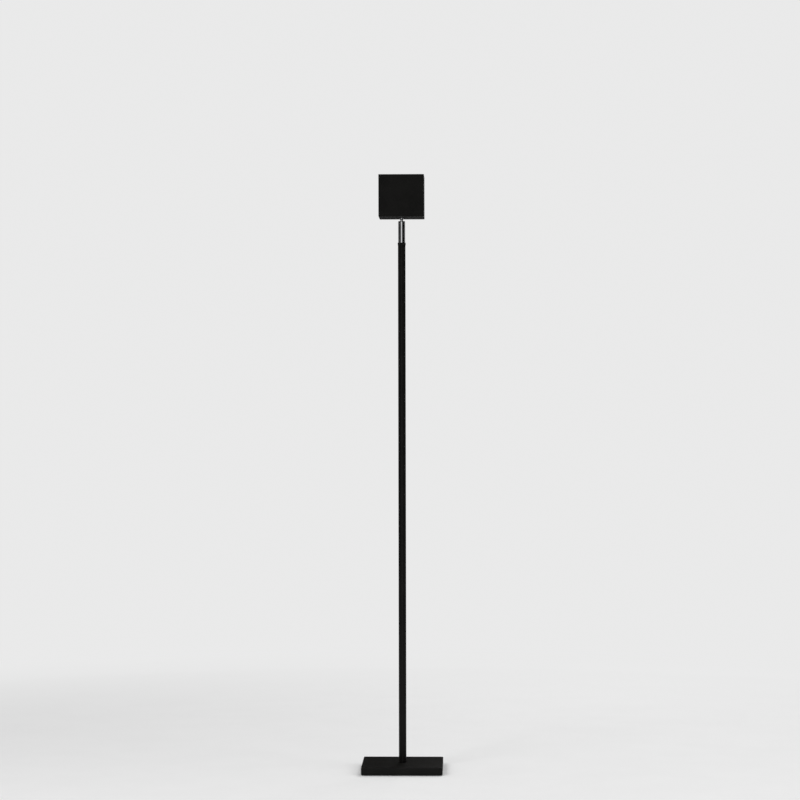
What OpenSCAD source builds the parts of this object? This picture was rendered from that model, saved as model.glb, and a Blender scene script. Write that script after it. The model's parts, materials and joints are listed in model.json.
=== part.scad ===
// Sunset projection lamp on a floor stand: a square weighted base, a three-piece pole,
// a slotted ball joint that swivels on the pole, and a box-shaped projector head.
// Millimetres. +Z is up, +Y is the way the beam leaves, and the origin lies on the floor
// under the middle of the pole. Every height is stacked up from the floor in [Hidden].

/* [Base] */
// Width of the base, side to side
base_w = 214; // [180:1:260]
// Depth of the base, along the beam
base_d = 214; // [180:1:260]
// Corner radius of the base in plan
base_r = 6; // [4:0.5:12]
// Radius of the pressed edge round the top of the base
base_edge_r = 1.2; // [0.8:0.1:1.4]
// Height of the pressed cover, from its open rim to its top
cover_h = 18.8; // [17.6:0.1:26]
// Sheet thickness of the pressed cover
cover_t = 1.5; // [1:0.1:2]
// Thickness of the bottom plate
plate_t = 1.2; // [0.8:0.1:1.6]
// Height of a rubber foot, which is also the gap under the base
foot_h = 2.2; // [2:0.1:5]
// Diameter of a rubber foot
foot_d = 18; // [12:0.5:26]
// Distance from the base's sides to the middle of a foot
foot_inset = 24; // [16:1:40]
// Distance from the base's sides to the middle of a bottom plate screw
plate_screw_inset = 44; // [38:1:60]

/* [Power socket] */
// Diameter of the hole that takes the plug's barrel
socket_bore_d = 5.6; // [5.5:0.1:6]
// Depth of that hole
socket_bore_l = 9.5; // [8:0.1:11]
// Diameter of the centre pin
socket_pin_d = 2.1; // [1.9:0.1:2.5]
// Diameter of the socket's round nose
socket_nose_d = 9.6; // [9:0.1:10]
// Width of the socket's moulded block
socket_w = 11; // [10.5:0.1:13]
// Length of the socket's moulded block
socket_l = 16; // [14:0.5:20]

/* [Pole] */
// Outside diameter of the pole
pole_d = 20; // [19.4:0.1:21]
// Wall of the pole's tubes
pole_wall = 1.2; // [1:0.1:1.5]
// Length of one of the pole's three tubes
tube_l = 458; // [300:1:600]
// Diameter of the collar at the pole's top
collar_d = 21.4; // [20.6:0.1:26]
// Height of the fixed half of the collar
cap_flange_h = 2.8; // [2:0.1:5]
// Depth of the cap's spigot in the upper tube
cap_spigot_l = 18; // [14:0.5:30]
// Diameter of the threaded spigot between two tubes
joiner_d = 14; // [12:0.1:15]
// Length of that spigot
joiner_l = 16; // [12:0.5:24]

/* [Swivel] */
// Thickness of the slip washer between the two halves of the collar
slip_washer_t = 0.6; // [0.4:0.1:1.2]
// Height of the turning half of the collar
turn_flange_h = 3.55; // [3:0.05:6]
// Diameter of the journal that the joint turns on
journal_d = 8; // [7:0.1:8.2]
// Length of the plug's spigot inside the joint
plug_spigot_l = 12; // [9:0.5:16]
// Turn to either side of straight ahead, up to the stop pin
pan_limit = 165; // [90:1:168]
// Diameter of the stop pin
stop_pin_d = 2; // [1.5:0.1:2.2]
// Distance of the stop pin from the pole's axis
stop_pin_r = 7.2; // [6.9:0.1:7.3]

/* [Ball joint] */
// Outside diameter of the chromed joint body
joint_d = 18.3; // [18:0.1:20]
// Height of the joint body
joint_h = 57.4; // [50:0.1:70]
// Radius of the joint body's shoulder
shoulder_r = 1.6; // [0.5:0.1:2]
// Diameter of the ball
ball_d = 15; // [14.4:0.1:15.4]
// Depth of the ball's middle under the top of the joint body
ball_depth = 8.5; // [8.3:0.1:10]
// Diameter of the ball's neck, which the slot takes
neck_d = 7; // [6.4:0.1:7.2]
// Tilt of the head towards the slot
tilt_down = 90; // [45:1:90]
// Tilt of the head the other way
tilt_back = 15; // [5:1:16]
// Wire diameter of the spring under the ball
spring_wire_d = 1.2; // [0.8:0.1:1.3]
// Number of turns of that spring
spring_turns = 6; // [4:0.5:9]
// Height of the ball's seat
seat_h = 7.5; // [6:0.1:10]

/* [Stem] */
// Diameter of the hollow threaded stem and of the nipple in the base
stem_d = 10; // [9.6:0.1:10.4]
// Bore of the ball and the stem
stem_bore_d = 4; // [3.8:0.1:4.4]
// Distance from the ball's middle to the underside of the head
stem_l = 17; // [16.5:0.1:24]
// Diameter of the collar under the head
stem_collar_d = 14; // [13:0.1:18]
// Height of the collar under the head
stem_collar_h = 2; // [1:0.1:3]

/* [Head] */
// Width of the head
head_w = 120; // [116:1:150]
// Height of the head
head_h = 112; // [110:1:140]
// Depth of the head, along the beam
head_d = 110; // [109:1:130]
// Wall of the cast housing
head_wall = 2.5; // [2:0.1:3]
// Radius of the housing's outer edges
head_edge_r = 1.2; // [0.5:0.1:2]
// Thickness of the front plate
front_t = 3; // [2.5:0.1:4]
// Depth of the front plate's face behind the housing's rim
front_recess = 1; // [0.5:0.1:2]
// Diameter of the posts that take the front plate's screws
post_d = 10; // [9.4:0.1:11]
// Distance from the housing's inner walls to the middle of a post
post_inset = 4.6; // [4:0.1:4.6]

/* [Optics] */
// Outside diameter of the lens barrel
barrel_d = 76; // [72:0.5:78]
// Wall of the lens barrel round the front lens
barrel_wall = 2.5; // [2:0.1:3.5]
// Depth of the lens barrel behind the face of the front plate
barrel_l = 60; // [56:0.5:61]
// Width of the barrel's flange
flange_w = 7; // [6:0.5:9]
// Thickness of the barrel's flange
flange_t = 2.5; // [2:0.1:4]
// Depth of the front lens's flat back behind the face of the front plate
lens_depth = 16; // [15.5:0.1:20]
// Radius of curvature of the front lens
lens_curve_r = 70; // [60:1:120]
// Thickness of the front lens at its rim
lens_rim_t = 3; // [2:0.1:4]
// Width of the front lens's flat rim under its retaining ring
lens_rim_w = 2.4; // [2:0.1:4]
// Height of the front lens's retaining ring
retainer_h = 4; // [3:0.1:6]
// Diameter of the condenser lens
condenser_d = 46; // [40:0.5:48]
// Radius of curvature of the condenser lens
condenser_curve_r = 36; // [30:1:60]
// Thickness of the condenser lens at its rim
condenser_rim_t = 3; // [2:0.1:4]
// Height of the condenser's retaining ring
condenser_ring_h = 2; // [1.5:0.1:3]

/* [Light source] */
// Width of the heat sink
sink_w = 96; // [84:1:98]
// Height of the heat sink
sink_h = 88; // [80:1:90]
// Thickness of the heat sink's plate
sink_t = 5; // [4:0.1:6]
// Length of a fin
fin_l = 14; // [8:0.5:14.5]
// Thickness of a fin
fin_t = 2; // [1.2:0.1:2.5]
// Number of fins
fin_count = 9; // [5:1:11]
// Height of the bosses that hold the heat sink off the back wall
boss_l = 16.5; // [16:0.1:18]
// Width of the light source's board
board_w = 30; // [26:0.5:34]
// Thickness of the light source's board
board_t = 1.6; // [1:0.1:2]
// Thickness of the heat pad under the board
pad_t = 0.3; // [0.2:0.1:0.5]
// Diameter of the light source
emitter_d = 14; // [10:0.5:16]
// Thickness of the light source
emitter_t = 1; // [0.5:0.1:1.5]
// Outside diameter of the reflector holder
holder_d = 46; // [44:0.5:50]
// Length of the reflector holder
holder_l = 21; // [16:0.5:22]
// Diameter of the coloured filter
filter_d = 40; // [36:0.5:41]
// Thickness of the coloured filter
filter_t = 2; // [1:0.1:3]
// Height of the ring that keeps the filter in
filter_ring_h = 1; // [0.8:0.1:1.5]

/* [Driver and cable] */
// Length of the driver board
driver_l = 60; // [50:1:70]
// Width of the driver board
driver_w = 40; // [34:1:42]
// Height of the driver board over the side wall
driver_standoff = 5; // [3:0.1:6]
// Diameter of the cable that the lamp holds inside
cable_d = 3; // [2.5:0.1:3.2]
// Bend radius of that cable, to its middle
cable_bend_r = 6; // [5.5:0.1:6.5]
// Diameter of the lead to the light source
lead_d = 2; // [1.5:0.1:2.4]

/* [Screws] */
// Diameter of the small screws
screw_d = 3; // [2.5:0.1:3.4]
// Diameter of the bottom plate's screws
plate_screw_d = 4; // [3:0.1:4.5]

/* [Fits] */
// Radial play of a running fit
run_fit = 0.05; // [0.02:0.01:0.1]
// Radial play of a pressed or threaded fit
push_fit = 0.02; // [0.01:0.01:0.05]
// Play round a piece that is dropped into a pocket
drop_fit = 0.3; // [0.2:0.05:0.5]

/* [Hidden] */
$fn = 64;
eps = 0.5;                 // how far a cutting tool runs past the face that it cuts
thread_proud = 0.8;        // thread that shows past a nut
bore_room = 1.5;           // bore left past the end of a screw

// Heights in the base, from the floor up
rim_z = foot_h;
weight_z = rim_z + plate_t;
base_top_z = rim_z + cover_h;
weight_top_z = base_top_z - cover_t;
nipple_bore_d = 7;
foot_nut_h = 3.5;
foot_nut_af = 14;
foot_washer_d = 22;
foot_washer_t = 1.5;
nut_well_d = 28;
nut_well_web = 3.1;        // iron left over the nut well
foot_washer_z = weight_top_z - nut_well_web - foot_washer_t;
foot_nut_z = foot_washer_z - foot_nut_h;
nipple_z = foot_nut_z - thread_proud;
nipple_in_plug = 12;
foot_plug_l = 20;
plug_bore_d = 9;           // way for the cable through the pole's fittings
foot_chamfer = 0.6;
plate_screw_grip = 8;      // thread of a bottom plate screw in the weight

// Power socket and cable run in the base
inner_y = base_d / 2 - cover_t;
socket_z = (weight_z + weight_top_z) / 2;
socket_ceiling = 2.6;      // iron left over the socket
socket_top_z = weight_top_z - socket_ceiling;
socket_pin_back = 0.8;     // the pin ends this far inside the socket's face
socket_back_y = inner_y - drop_fit / 2 - socket_l;
channel_w = 8;
channel_h = 6.6;
cable_lift = 0.1;          // of the cable over the bottom plate
base_cable_z = weight_z + cable_lift + cable_d / 2;

// Pole
pole_id = pole_d - 2 * pole_wall;
plug_d = pole_id - 2 * push_fit;
lower_seam_z = base_top_z + tube_l;
upper_seam_z = lower_seam_z + tube_l;
pole_top_z = upper_seam_z + tube_l;
tube_chamfer = 0.25;
joiner_grip = 24;          // depth of a joiner in the tube under it
joiner_chamfer = 1;
joiner_nut_l = 16;
joiner_nut_lift = 2;       // the threaded ring sits this far up its tube

// Swivel on the pole's top
cap_top_z = pole_top_z + cap_flange_h;
turn_z = cap_top_z + slip_washer_t + run_fit;
joint_z = turn_z + turn_flange_h;
plug_top_z = joint_z + plug_spigot_l;
friction_washer_t = 0.8;
friction_washer_z = plug_top_z + run_fit;
pan_nut_z = friction_washer_z + friction_washer_t;
pan_nut_h = 3.5;
pan_nut_wall = 1.9;
pan_nut_d = journal_d + 2 * pan_nut_wall;
nut_slot_w = 1.6;
nut_slot_h = 1;
pan_nipple_l = 14;         // grip of the nipple in the cap
pan_nipple_bore_d = 5;
journal_root = 0.5;        // the journal starts this far inside the cap
slip_washer_inset = 0.5;   // edge of the slip washer behind the collar's
stop_pin_grip = 6;
stop_pin_reach = turn_flange_h / 2;
stop_groove_play = 0.25;
stop_groove_h = stop_pin_reach + stop_groove_play;
stop_groove_w = stop_pin_d + 2 * stop_groove_play;
stop_pin_half = asin(stop_pin_d / 2 / stop_pin_r);
stop_margin = 0.5;         // degrees left between the pin and the web at the limit
stop_web = 360 - 2 * (pan_limit + stop_pin_half + stop_margin);

// Ball joint
joint_top_z = joint_z + joint_h;
ball_play = 0.1;           // of the ball in the body's bore
joint_id = ball_d + 2 * ball_play;
ball_z = joint_top_z - ball_depth;
ball_r = ball_d / 2;
seat_d = joint_id - 2 * run_fit;
seat_bore_d = 9;
seat_clear = 0.4;          // between the seat's rim and the neck at full tilt
seat_drop = neck_d / 2 + seat_clear;
seat_z = ball_z - seat_drop - seat_h;
spring_d = joint_id - 2 * ball_play;
spring_z = plug_top_z;
spring_l = seat_z - spring_z;
spring_flat = 0.75;        // turns that lie flat at each end
spring_lift = 0.015;       // climb of those turns
spring_steps = 12;         // rings of the drawn wire in one turn
spring_sides = 8;
mouth_grip = 1.9;          // how far the lip reaches in over the ball
mouth_r = ball_r - mouth_grip;
mouth_keep_z = sqrt(pow(ball_r + run_fit, 2) - pow(mouth_r, 2));
mouth_land = 0.4;          // straight part of the mouth over the lip
mouth_play = 0.5;          // round the neck where it leans at tilt_back
mouth_top_r = max(mouth_r,
    ball_depth * tan(tilt_back) + neck_d / 2 / cos(tilt_back) + mouth_play);
slot_play = 0.2;
slot_w = neck_d + 2 * slot_play;
joint_reach = norm([joint_d / 2 - shoulder_r, ball_depth - shoulder_r]) + shoulder_r;
neck_clear = 0.3;          // the neck stays thin until this far outside the joint body
neck_end = joint_reach + neck_clear;
flare_ratio = 0.8;         // length of the neck's flare over its growth in radius
neck_flare = flare_ratio * (stem_d - neck_d) / 2;
cable_slot_step = 0.1;     // the ball's cable slot is narrower than its bore by this, each side
cable_slot_w = stem_bore_d - 2 * cable_slot_step;
cable_slot_over = 5;       // extra turn of that slot past the tilt's limits
cable_slot_parts = 6;      // flat facets of its outer edge, outside the ball
pivot_gap = 2.2;           // the cable stops this far from the ball's middle on either side

// Head
head_z = ball_z + stem_l;
head_top_z = head_z + head_h;
beam_z = head_z + head_h / 2;
in_w = head_w - 2 * head_wall;
in_h = head_h - 2 * head_wall;
floor_z = head_z + head_wall;
back_y = -head_d / 2 + head_wall;
rim_y = head_d / 2;
face_y = rim_y - front_recess;
plate_y = face_y - front_t;
post_x = in_w / 2 - post_inset;
post_z = in_h / 2 - post_inset;
stem_washer_d = 18;
stem_washer_t = 1.2;
stem_nut_h = 3.5;
stem_nut_af = 14;
stem_nut_z = floor_z + stem_washer_t;
stem_top_z = stem_nut_z + stem_nut_h + thread_proud;
grommet_t = 1;
grommet_spigot_l = 3;
grommet_inset = 0.5;       // edge of the grommet inside the stem's
head_inner_r = 1;
post_screw_grip = 8;       // thread of a front plate screw in its post

// Lens barrel, measured back from the front plate's face
barrel_r = barrel_d / 2;
barrel_back_y = face_y - barrel_l;
lens_seat_r = barrel_r - barrel_wall;
lens_play = 0.2;           // round the lenses, and between their domes and rings
lens_r = lens_seat_r - lens_play;
lens_y = face_y - lens_depth;
lens_rim_y = lens_y + lens_rim_t;
dome_r = lens_r - lens_rim_w;
condenser_r = condenser_d / 2;
condenser_seat_r = condenser_r + lens_play;
condenser_wall = 3.8;
condenser_lip_w = 3.2;     // ledge behind the condenser lens
condenser_lip_t = 2.5;
condenser_y = barrel_back_y + condenser_lip_t;
condenser_rim_y = condenser_y + condenser_rim_t;
condenser_rim_w = 3;
cone_start = 12;           // length of the barrel's narrow part
cone_y = barrel_back_y + cone_start;
cone_l = 12;
barrel_chamfer = 0.6;
notch_w = 2.4;             // spanner notches of the retaining rings
notch_h = 1.2;
flange_y = plate_y - flange_t;
flange_r = barrel_r + flange_w;
flange_screw_d = 2.5;
flange_screw_r = barrel_r + flange_w / 2;
flange_screw_skin = 1;     // plate left in front of the barrel's screws
flange_screw_room = 0.4;

// Light source on its heat sink
sink_y = back_y + boss_l;
sink_face_y = sink_y + sink_t;
sink_r = 2;
boss_d = 8;
boss_inset = 6;
boss_x = sink_w / 2 - boss_inset;
boss_z = sink_h / 2 - boss_inset;
boss_screw_grip = 7;       // thread of a heat sink screw in its boss
fin_clear = 2;             // between the outer fins and the bosses
fin_span = 2 * (boss_x - boss_d / 2 - fin_clear);
board_y = sink_face_y + pad_t;
board_face_y = board_y + board_t;
board_r = 1.5;
holder_r = holder_d / 2;
holder_end_y = board_face_y + holder_l;
filter_seat_y = holder_end_y - filter_t - filter_ring_h;
filter_play = 0.2;
filter_ledge = 2;          // width of the filter's seat
filter_ring_w = 2.5;       // the ring reaches in over the filter by this
emitter_gap = 0.6;         // between the light source and the reflector
reflector_r0 = emitter_d / 2 + emitter_gap;
reflector_r1 = filter_d / 2 - filter_ledge;
reflector_land = 2;        // straight part of the reflector at its back
ear_out = 4;               // middle of an ear's screw outside the cup
ear_z = holder_r + ear_out;
ear_root = 6;              // reach of an ear towards the cup's wall
ear_d = 9;
ear_t = 4;
ear_screw_grip = sink_t - 1;

// Driver on the side wall
driver_t = 1.6;
driver_x = in_w / 2 - driver_standoff - driver_t;
lead_bend_r = 3.5;
driver_gap = 0.6;          // between the lead's bend and the board's edge
driver_y = board_face_y + lead_d / 2 + lead_bend_r + driver_gap;
driver_screw_inset = 5;
driver_screw_y = driver_y + driver_w - driver_screw_inset;
driver_screw_z = driver_l / 2 - driver_screw_inset;
standoff_d = 6;
standoff_room = 0.5;       // between a driver screw's end and the side wall
terminal_h = 8;            // heights are over the board, lengths along +Z
terminal_w = 9;
terminal_l = 6;
terminal_x = driver_x - terminal_h / 2;
lead_plug_h = 6;
lead_plug_l = 10;
coil_d = 12;
coil_h = 6;
coil_at = [10, 12];        // from the board's back edge, and over the beam's middle
capacitor_d = 8;
capacitor_h = 7;
capacitor_at = [driver_w - 12, 14];
chip_w = 8;
chip_h = 1.8;
chip_at = [22, -8];
stem_cable_top_z = stem_top_z + grommet_t;
lead_drop = 8;             // of the lead under the beam's middle
lead_z = beam_z - lead_drop;
lead_y = board_face_y + lead_d / 2;
lead_x = driver_x - lead_plug_h / 2;
lead_pad_x = board_w / 2 - 4;   // where the lead ends on the board

// Screws, as shares of the shank's diameter
screw_head_share = 1.9;    // diameter of a head
pan_head_share = 0.45;     // height of a pan head
pan_crown_share = 0.15;    // height of its sloping part
flush_head_share = 0.5;    // height of a countersunk head
drive_share = 0.75;        // width of the drive's hexagon over its corners
drive_depth_share = 0.25;

// ---- Shared shapes ----

// Rectangle with round corners, about its middle
module rounded_rect(w, d, r) {
    square([w - 2 * r, d], center = true);
    square([w, d - 2 * r], center = true);
    for (x = [-1, 1], y = [-1, 1])
        translate([x * (w / 2 - r), y * (d / 2 - r)]) circle(r);
}

// Rectangle from the origin up, with its two upper corners round
module arched_rect(w, h, r) {
    translate([-w / 2, 0]) square([w, h - r]);
    translate([-w / 2 + r, 0]) square([w - 2 * r, h]);
    for (x = [-1, 1]) translate([x * (w / 2 - r), h - r]) circle(r);
}

// Block standing on its open side: plan corners of radius r, far edges of radius edge
module pressed_block(w, d, h, r, edge) {
    intersection() {
        linear_extrude(h) rounded_rect(w, d, r);
        rotate([90, 0, 0]) translate([0, 0, -d / 2]) linear_extrude(d) arched_rect(w, h, edge);
        rotate([90, 0, 90]) translate([0, 0, -w / 2]) linear_extrude(w) arched_rect(d, h, edge);
    }
}

// Round bar along +Z from z, with diameter d and length l
module bar(d, l, z = 0) {
    translate([0, 0, z]) cylinder(d = d, h = l);
}

// Ring along +Z from z
module ring(d, bore, l, z = 0) {
    translate([0, 0, z]) difference() {
        cylinder(d = d, h = l);
        translate([0, 0, -eps]) cylinder(d = bore, h = l + 2 * eps);
    }
}

// Hexagonal nut along +Z from z, across-flats af
module hex_nut(af, bore, l, z = 0) {
    translate([0, 0, z]) difference() {
        cylinder(d = af / cos(30), h = l, $fn = 6);
        translate([0, 0, -eps]) cylinder(d = bore, h = l + 2 * eps);
    }
}

// Hexagonal recess for the key in a screw's head, whose top is at z
module drive(d, z)
    translate([0, 0, z - eps])
        cylinder(d = d * drive_share, h = d * drive_depth_share + eps, $fn = 6);

// Pan head screw along +Z: the head's underside at z = 0, the shank going up
module pan_screw(d, l) {
    head = d * screw_head_share;
    crown = d * pan_crown_share;
    top = -d * pan_head_share;
    difference() {
        union() {
            bar(d - 2 * push_fit, l);
            translate([0, 0, top]) cylinder(d1 = head - 2 * crown, d2 = head, h = crown);
            bar(head, -top - crown, top + crown);
        }
        drive(d, top);
    }
}

// Countersunk screw along +Z: the head's top at z = 0, the shank going up
module flush_screw(d, l) {
    shank = d - 2 * push_fit;
    difference() {
        union() {
            cylinder(d1 = d * screw_head_share, d2 = shank, h = d * flush_head_share);
            bar(shank, l);
        }
        drive(d, 0);
    }
}

// Turns +Z to point along +Y, for the pieces round the beam
module along_beam(y = 0) {
    translate([0, y, beam_z]) rotate([-90, 0, 0]) children();
}

// Puts its children at the middles of the four corners of a w by d rectangle
module at_corners(w, d) {
    for (x = [-1, 1], y = [-1, 1]) translate([x * w / 2, y * d / 2]) children();
}

// Quarter bend of a cable: enters at the origin going +Z and leaves going +X
module cable_bend(d, r) {
    translate([r, 0, 0]) rotate([90, 0, 0]) rotate([0, 0, 90])
        rotate_extrude(angle = 90) translate([r, 0]) circle(d = d);
}

// ---- Base ----

module base_cover() color([0.05, 0.05, 0.05]) {
    difference() {
        translate([0, 0, rim_z]) pressed_block(base_w, base_d, cover_h, base_r, base_edge_r);
        translate([0, 0, rim_z - eps]) linear_extrude(cover_h - cover_t + eps)
            rounded_rect(base_w - 2 * cover_t, base_d - 2 * cover_t, base_r - cover_t);
        bar(stem_d + 2 * run_fit, cover_t + 2 * eps, weight_top_z - eps);
        translate([0, inner_y - eps, socket_z]) rotate([-90, 0, 0])
            bar(socket_nose_d + 2 * drop_fit, cover_t + 2 * eps);
    }
}

// Outline of what fits inside the cover
module weight_outline() {
    rounded_rect(base_w - 2 * (cover_t + drop_fit), base_d - 2 * (cover_t + drop_fit),
        base_r - cover_t - drop_fit);
}

module base_weight() color([0.2, 0.2, 0.21]) {
    difference() {
        translate([0, 0, weight_z]) linear_extrude(weight_top_z - weight_z) weight_outline();
        bar(stem_d + 2 * run_fit, weight_top_z, weight_z);
        bar(nut_well_d, foot_washer_z + foot_washer_t - weight_z + eps, weight_z - eps);
        // way for the cable, and the pocket of the power socket
        translate([-channel_w / 2, 0, weight_z - eps])
            cube([channel_w, base_d, channel_h + eps]);
        translate([-socket_w / 2 - drop_fit, socket_back_y - drop_fit, weight_z - eps])
            cube([socket_w + 2 * drop_fit, base_d, socket_top_z - weight_z + eps]);
        at_corners(base_w - 2 * plate_screw_inset, base_d - 2 * plate_screw_inset)
            bar(plate_screw_d, plate_screw_grip + bore_room + eps, weight_z - eps);
    }
}

module bottom_plate() color([0.12, 0.12, 0.12]) {
    difference() {
        translate([0, 0, rim_z]) linear_extrude(plate_t) weight_outline();
        at_corners(base_w - 2 * plate_screw_inset, base_d - 2 * plate_screw_inset)
            bar(plate_screw_d + 2 * drop_fit, plate_t + 2 * eps, rim_z - eps);
    }
}

module bottom_plate_screws() color([0.45, 0.45, 0.46]) {
    at_corners(base_w - 2 * plate_screw_inset, base_d - 2 * plate_screw_inset)
        translate([0, 0, rim_z]) pan_screw(plate_screw_d, plate_t + plate_screw_grip);
}

module feet() color([0.08, 0.08, 0.08]) {
    at_corners(base_w - 2 * foot_inset, base_d - 2 * foot_inset) {
        cylinder(d1 = foot_d - 2 * foot_chamfer, d2 = foot_d, h = foot_chamfer);
        bar(foot_d, foot_h - foot_chamfer, foot_chamfer);
    }
}

module socket_body() color([0.06, 0.06, 0.06]) {
    difference() {
        union() {
            translate([-socket_w / 2, socket_back_y, weight_z])
                cube([socket_w, socket_l, socket_top_z - weight_z]);
            translate([0, socket_back_y + socket_l - eps, socket_z]) rotate([-90, 0, 0])
                bar(socket_nose_d, cover_t + eps);
        }
        translate([0, socket_back_y + socket_l + cover_t - socket_bore_l, socket_z])
            rotate([-90, 0, 0]) bar(socket_bore_d, socket_bore_l + eps);
    }
}

module socket_pin() color([0.75, 0.75, 0.75]) {
    pin_l = socket_bore_l - socket_pin_back;
    translate([0, socket_back_y + socket_l + cover_t - socket_bore_l, socket_z])
        rotate([-90, 0, 0]) {
            bar(socket_pin_d, pin_l - socket_pin_d / 2);
            translate([0, 0, pin_l - socket_pin_d / 2]) sphere(d = socket_pin_d);
        }
}

module foot_nipple() color([0.7, 0.68, 0.6]) {
    ring(stem_d, nipple_bore_d, base_top_z + nipple_in_plug - nipple_z, nipple_z);
}

module foot_washer() color([0.6, 0.6, 0.6])
    ring(foot_washer_d, stem_d + 2 * drop_fit, foot_washer_t, foot_washer_z);

module foot_nut() color([0.6, 0.6, 0.6])
    hex_nut(foot_nut_af, stem_d + 2 * push_fit, foot_nut_h, foot_nut_z);

// ---- Pole ----

module foot_plug() color([0.55, 0.55, 0.56]) {
    difference() {
        bar(plug_d, foot_plug_l, base_top_z);
        bar(stem_d + 2 * push_fit, nipple_in_plug + eps, base_top_z - eps);
        bar(plug_bore_d, foot_plug_l + 2 * eps, base_top_z - eps);
    }
}

// One tube of the pole, with a fine chamfer that marks the seam to its neighbour
module pole_tube(z) {
    difference() {
        union() {
            translate([0, 0, z])
                cylinder(d1 = pole_d - 2 * tube_chamfer, d2 = pole_d, h = tube_chamfer);
            bar(pole_d, tube_l - 2 * tube_chamfer, z + tube_chamfer);
            translate([0, 0, z + tube_l - tube_chamfer])
                cylinder(d1 = pole_d, d2 = pole_d - 2 * tube_chamfer, h = tube_chamfer);
        }
        bar(pole_id, tube_l + 2 * eps, z - eps);
    }
}

module lower_tube() color([0.04, 0.04, 0.04]) pole_tube(base_top_z);
module middle_tube() color([0.04, 0.04, 0.04]) pole_tube(lower_seam_z);
module upper_tube() color([0.04, 0.04, 0.04]) pole_tube(upper_seam_z);

// Threaded spigot pressed into the top of a tube; seam is where the next tube starts
module joiner(seam) {
    difference() {
        union() {
            bar(plug_d, joiner_grip, seam - joiner_grip);
            bar(joiner_d, joiner_l - joiner_chamfer, seam);
            translate([0, 0, seam + joiner_l - joiner_chamfer])
                cylinder(d1 = joiner_d, d2 = joiner_d - 2 * joiner_chamfer, h = joiner_chamfer);
        }
        bar(plug_bore_d, joiner_grip + joiner_l + 2 * eps, seam - joiner_grip - eps);
    }
}

module lower_joiner() color([0.6, 0.6, 0.6]) joiner(lower_seam_z);
module upper_joiner() color([0.6, 0.6, 0.6]) joiner(upper_seam_z);

// Threaded ring pressed into the bottom of a tube
module joiner_nut(seam)
    ring(plug_d, joiner_d + 2 * push_fit, joiner_nut_l, seam + joiner_nut_lift);

module lower_joiner_nut() color([0.7, 0.6, 0.35]) joiner_nut(lower_seam_z);
module upper_joiner_nut() color([0.7, 0.6, 0.35]) joiner_nut(upper_seam_z);

// Cap of the pole: a spigot in the tube under the fixed half of the collar
module pole_cap() color([0.05, 0.05, 0.05]) {
    difference() {
        union() {
            bar(plug_d, cap_spigot_l + eps, pole_top_z - cap_spigot_l);
            bar(collar_d, cap_flange_h, pole_top_z);
        }
        bar(stem_d + 2 * push_fit, cap_spigot_l + cap_flange_h + 2 * eps,
            pole_top_z - cap_spigot_l - eps);
        translate([0, -stop_pin_r, 0])
            bar(stop_pin_d + 2 * push_fit, stop_pin_grip + eps, cap_top_z - stop_pin_grip);
    }
}

// ---- Swivel ----

// Hollow nipple: threaded into the cap, and a plain journal from there up to its nut
module pan_nipple() color([0.7, 0.68, 0.6]) {
    z = cap_top_z - pan_nipple_l;
    l = pan_nut_z + pan_nut_h + thread_proud - z;
    difference() {
        union() {
            bar(stem_d, pan_nipple_l - journal_root, z);
            bar(journal_d, l, z);
        }
        bar(pan_nipple_bore_d, l + 2 * eps, z - eps);
    }
}

module slip_washer() color([0.1, 0.1, 0.1]) {
    difference() {
        ring(collar_d - 2 * slip_washer_inset, journal_d + 2 * drop_fit, slip_washer_t,
            cap_top_z);
        translate([0, -stop_pin_r, 0])
            bar(stop_pin_d + 2 * run_fit, slip_washer_t + 2 * eps, cap_top_z - eps);
    }
}

module friction_washer() color([0.3, 0.3, 0.3])
    ring(pan_nut_d, journal_d + 2 * run_fit, friction_washer_t, friction_washer_z);

// Round nut with two spanner slots
module pan_nut() color([0.7, 0.6, 0.35]) {
    difference() {
        ring(pan_nut_d, journal_d + 2 * push_fit, pan_nut_h, pan_nut_z);
        translate([-pan_nut_d, -nut_slot_w / 2, pan_nut_z + pan_nut_h - nut_slot_h])
            cube([2 * pan_nut_d, nut_slot_w, nut_slot_h + eps]);
    }
}

module stop_pin() color([0.75, 0.75, 0.75])
    translate([0, -stop_pin_r, 0])
        bar(stop_pin_d, stop_pin_grip + turn_z - cap_top_z + stop_pin_reach,
            cap_top_z - stop_pin_grip);

// Plug under the joint body: the turning half of the collar, and the spring's footing.
// The groove in its underside runs round the stop pin, up to a web at the front.
module swivel_plug() color([0.05, 0.05, 0.05]) {
    difference() {
        union() {
            bar(collar_d, turn_flange_h, turn_z);
            bar(joint_id - 2 * push_fit, plug_spigot_l + eps, joint_z - eps);
        }
        bar(journal_d + 2 * run_fit, turn_flange_h + plug_spigot_l + 2 * eps, turn_z - eps);
        translate([0, 0, turn_z - eps]) rotate([0, 0, 90 + stop_web / 2])
            rotate_extrude(angle = 360 - stop_web)
                translate([stop_pin_r - stop_groove_w / 2, 0])
                    square([stop_groove_w, stop_groove_h + eps]);
    }
}

// ---- Ball joint ----

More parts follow.
